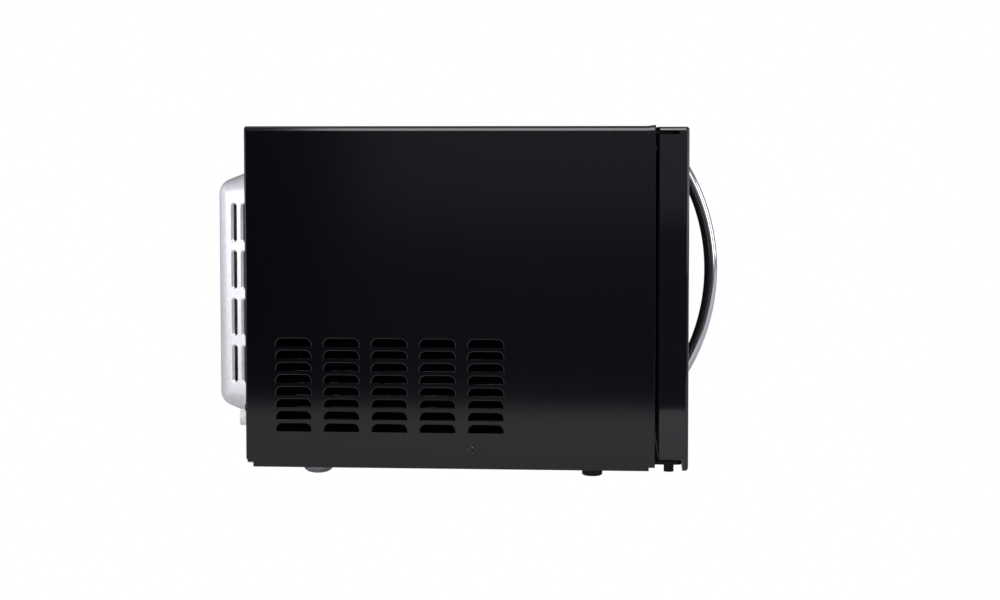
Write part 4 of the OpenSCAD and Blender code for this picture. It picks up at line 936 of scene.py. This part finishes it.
def segment_bar(bm, x, y, z, length, thick, upright):
    """One pointed bar of a seven-segment digit."""
    half, tip = length / 2 - 0.4 * MM, thick / 2
    outline = [(-half, 0), (-half + tip, tip), (half - tip, tip), (half, 0), (half - tip, -tip), (-half + tip, -tip)]
    if upright:
        outline = [(-b, a) for a, b in outline]
    front = [bm.verts.new((x + a, y, z + b)) for a, b in outline]
    back = [bm.verts.new((x + a, y + 0.15 * MM, z + b)) for a, b in outline]
    bm.faces.new(front)
    bm.faces.new(back)
    bridge(bm, front, back)


def make_display_digits():
    """Four lit digits and a colon behind the display's window."""
    low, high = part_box("display_window")
    y = low[1] - 0.12 * MM
    middle_x, middle_z = (low[0] + high[0]) / 2, (low[2] + high[2]) / 2
    w, h, thick, step = 9 * MM, 18 * MM, 1.9 * MM, 15 * MM
    places = {"a": (0, h / 2, False), "g": (0, 0, False), "d": (0, -h / 2, False), "f": (-w / 2, h / 4, True),
              "b": (w / 2, h / 4, True), "e": (-w / 2, -h / 4, True), "c": (w / 2, -h / 4, True)}
    bm = bmesh.new()
    for k, digit in enumerate("1200"):
        x = middle_x + (k - 1.5) * step + (2 * MM if k > 1 else -2 * MM)
        for name in SEGMENTS[digit]:
            dx, dz, upright = places[name]
            segment_bar(bm, x + dx, y, middle_z + dz, h / 2 if upright else w, thick, upright)
    dot = [(0, 0), (1.0 * MM, 0), (1.0 * MM, 0.15 * MM), (0, 0.15 * MM)]
    for dz in (-3.5 * MM, 3.5 * MM):
        lathe(bm, dot, (middle_x, y + 0.15 * MM, middle_z + dz), (0, -1, 0), 16)
    finish_piece("display_digits", bm, "display_glow", "chassis", False)


def key_outline(bm, x, z, w, h, r, line, y):
    """A thin printed line round one key."""
    rows = []
    for grow in (0, line):
        outline = rounded_outline((x - w / 2 + grow, z - h / 2 + grow), (x + w / 2 - grow, z + h / 2 - grow), r - grow)
        rows.append([bm.verts.new((a, y, b)) for a, b in outline])
    bridge(bm, rows[0], rows[1])


def make_keypad_print():
    """Key outlines, digits and marks: three rows of functions above four rows of digits."""
    low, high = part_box("keypad")
    y = low[1] - 0.06 * MM
    columns, rows = 3, 7
    step_x, step_z = (high[0] - low[0]) / columns, (high[2] - low[2]) / rows
    bm = bmesh.new()
    labels = ["1", "2", "3", "4", "5", "6", "7", "8", "9", None, "0", None]
    for row in range(rows):
        for column in range(columns):
            x = low[0] + (column + 0.5) * step_x
            z = high[2] - (row + 0.5) * step_z
            key_outline(bm, x, z, step_x - 5 * MM, step_z - 5 * MM, 3.5 * MM, 0.45 * MM, y)
            index = (row - 3) * columns + column
            if row >= 3 and labels[index]:
                lettering("key_print_" + labels[index], labels[index], (x, y, z), 9 * MM, "panel_print")
            elif row >= 3:
                half = 3.2 * MM
                for flat in (True, False) if index == 11 else (True,):
                    a, b = (half, 0.55 * MM) if flat else (0.55 * MM, half)
                    quad = [bm.verts.new((x + i * a, y, z + k * b)) for i, k in ((-1, -1), (1, -1), (1, 1), (-1, 1))]
                    bm.faces.new(quad)
            else:
                function_mark(bm, x, y, z, row * columns + column)
    outline = finish_piece("keypad_print", bm, "panel_print", "chassis", False)
    thickened(outline, 0.05 * MM, 0)


def function_mark(bm, x, y, z, kind):
    """Plain marks for the cooking functions: bars, rings and steps."""
    def bar(cx, cz, w, h):
        quad = [bm.verts.new((cx + i * w / 2, y, cz + k * h / 2)) for i, k in ((-1, -1), (1, -1), (1, 1), (-1, 1))]
        bm.faces.new(quad)

    def ring(radius, line):
        rows = []
        turns = [2 * math.pi * i / 24 for i in range(24)]
        for r in (radius, radius - line):
            rows.append([bm.verts.new((x + r * math.cos(a), y, z + r * math.sin(a))) for a in turns])
        bridge(bm, rows[0], rows[1])

    line = 0.6 * MM
    if kind % 3 == 0:
        for k in range(3):
            bar(x, z + (k - 1) * 2.2 * MM, (8 - 2 * (kind // 3)) * MM, line)
    elif kind % 3 == 1:
        ring(3.6 * MM, line)
        bar(x, z + 0.9 * MM, line, 2.4 * MM)
        bar(x + 0.9 * MM, z, 2.0 * MM, line)
    else:
        for k in range(2 + kind // 3):
            bar(x + (k - 1) * 2.4 * MM, z - 1.5 * MM + k * 0.7 * MM, 1.4 * MM, (2 + 1.4 * k) * MM)


def make_key_marks():
    """A square on the stop key and a triangle on the start key."""
    for node, body, corners in (("stop_key", "stop_button", 4), ("start_key", "start_button", 3)):
        low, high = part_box(node)
        y = low[1] - 0.08 * MM
        x, z, r = (low[0] + high[0]) / 2, (low[2] + high[2]) / 2, 3.4 * MM
        turn = math.radians(45) if corners == 4 else 0
        bm = bmesh.new()
        front = []
        for k in range(corners):
            a = turn + 2 * math.pi * k / corners
            front.append(bm.verts.new((x + r * math.cos(a), y, z + r * math.sin(a))))
        bm.faces.new(front)
        obj = finish_piece(node + "_mark", bm, "panel_print", body, False)
        thickened(obj, 0.05 * MM, 0)


make_camera()
make_stage()
make_gap_shade()
make_world()
make_lights()
paint_cad()
make_outer_cabinet()
make_cabinet_screws()
make_rear_vent_cover()
make_handle()
make_door_frame()
make_door_screen()
make_display_digits()
make_keypad_print()
make_key_marks()
bpy.context.scene.view_settings.view_transform = "Standard"
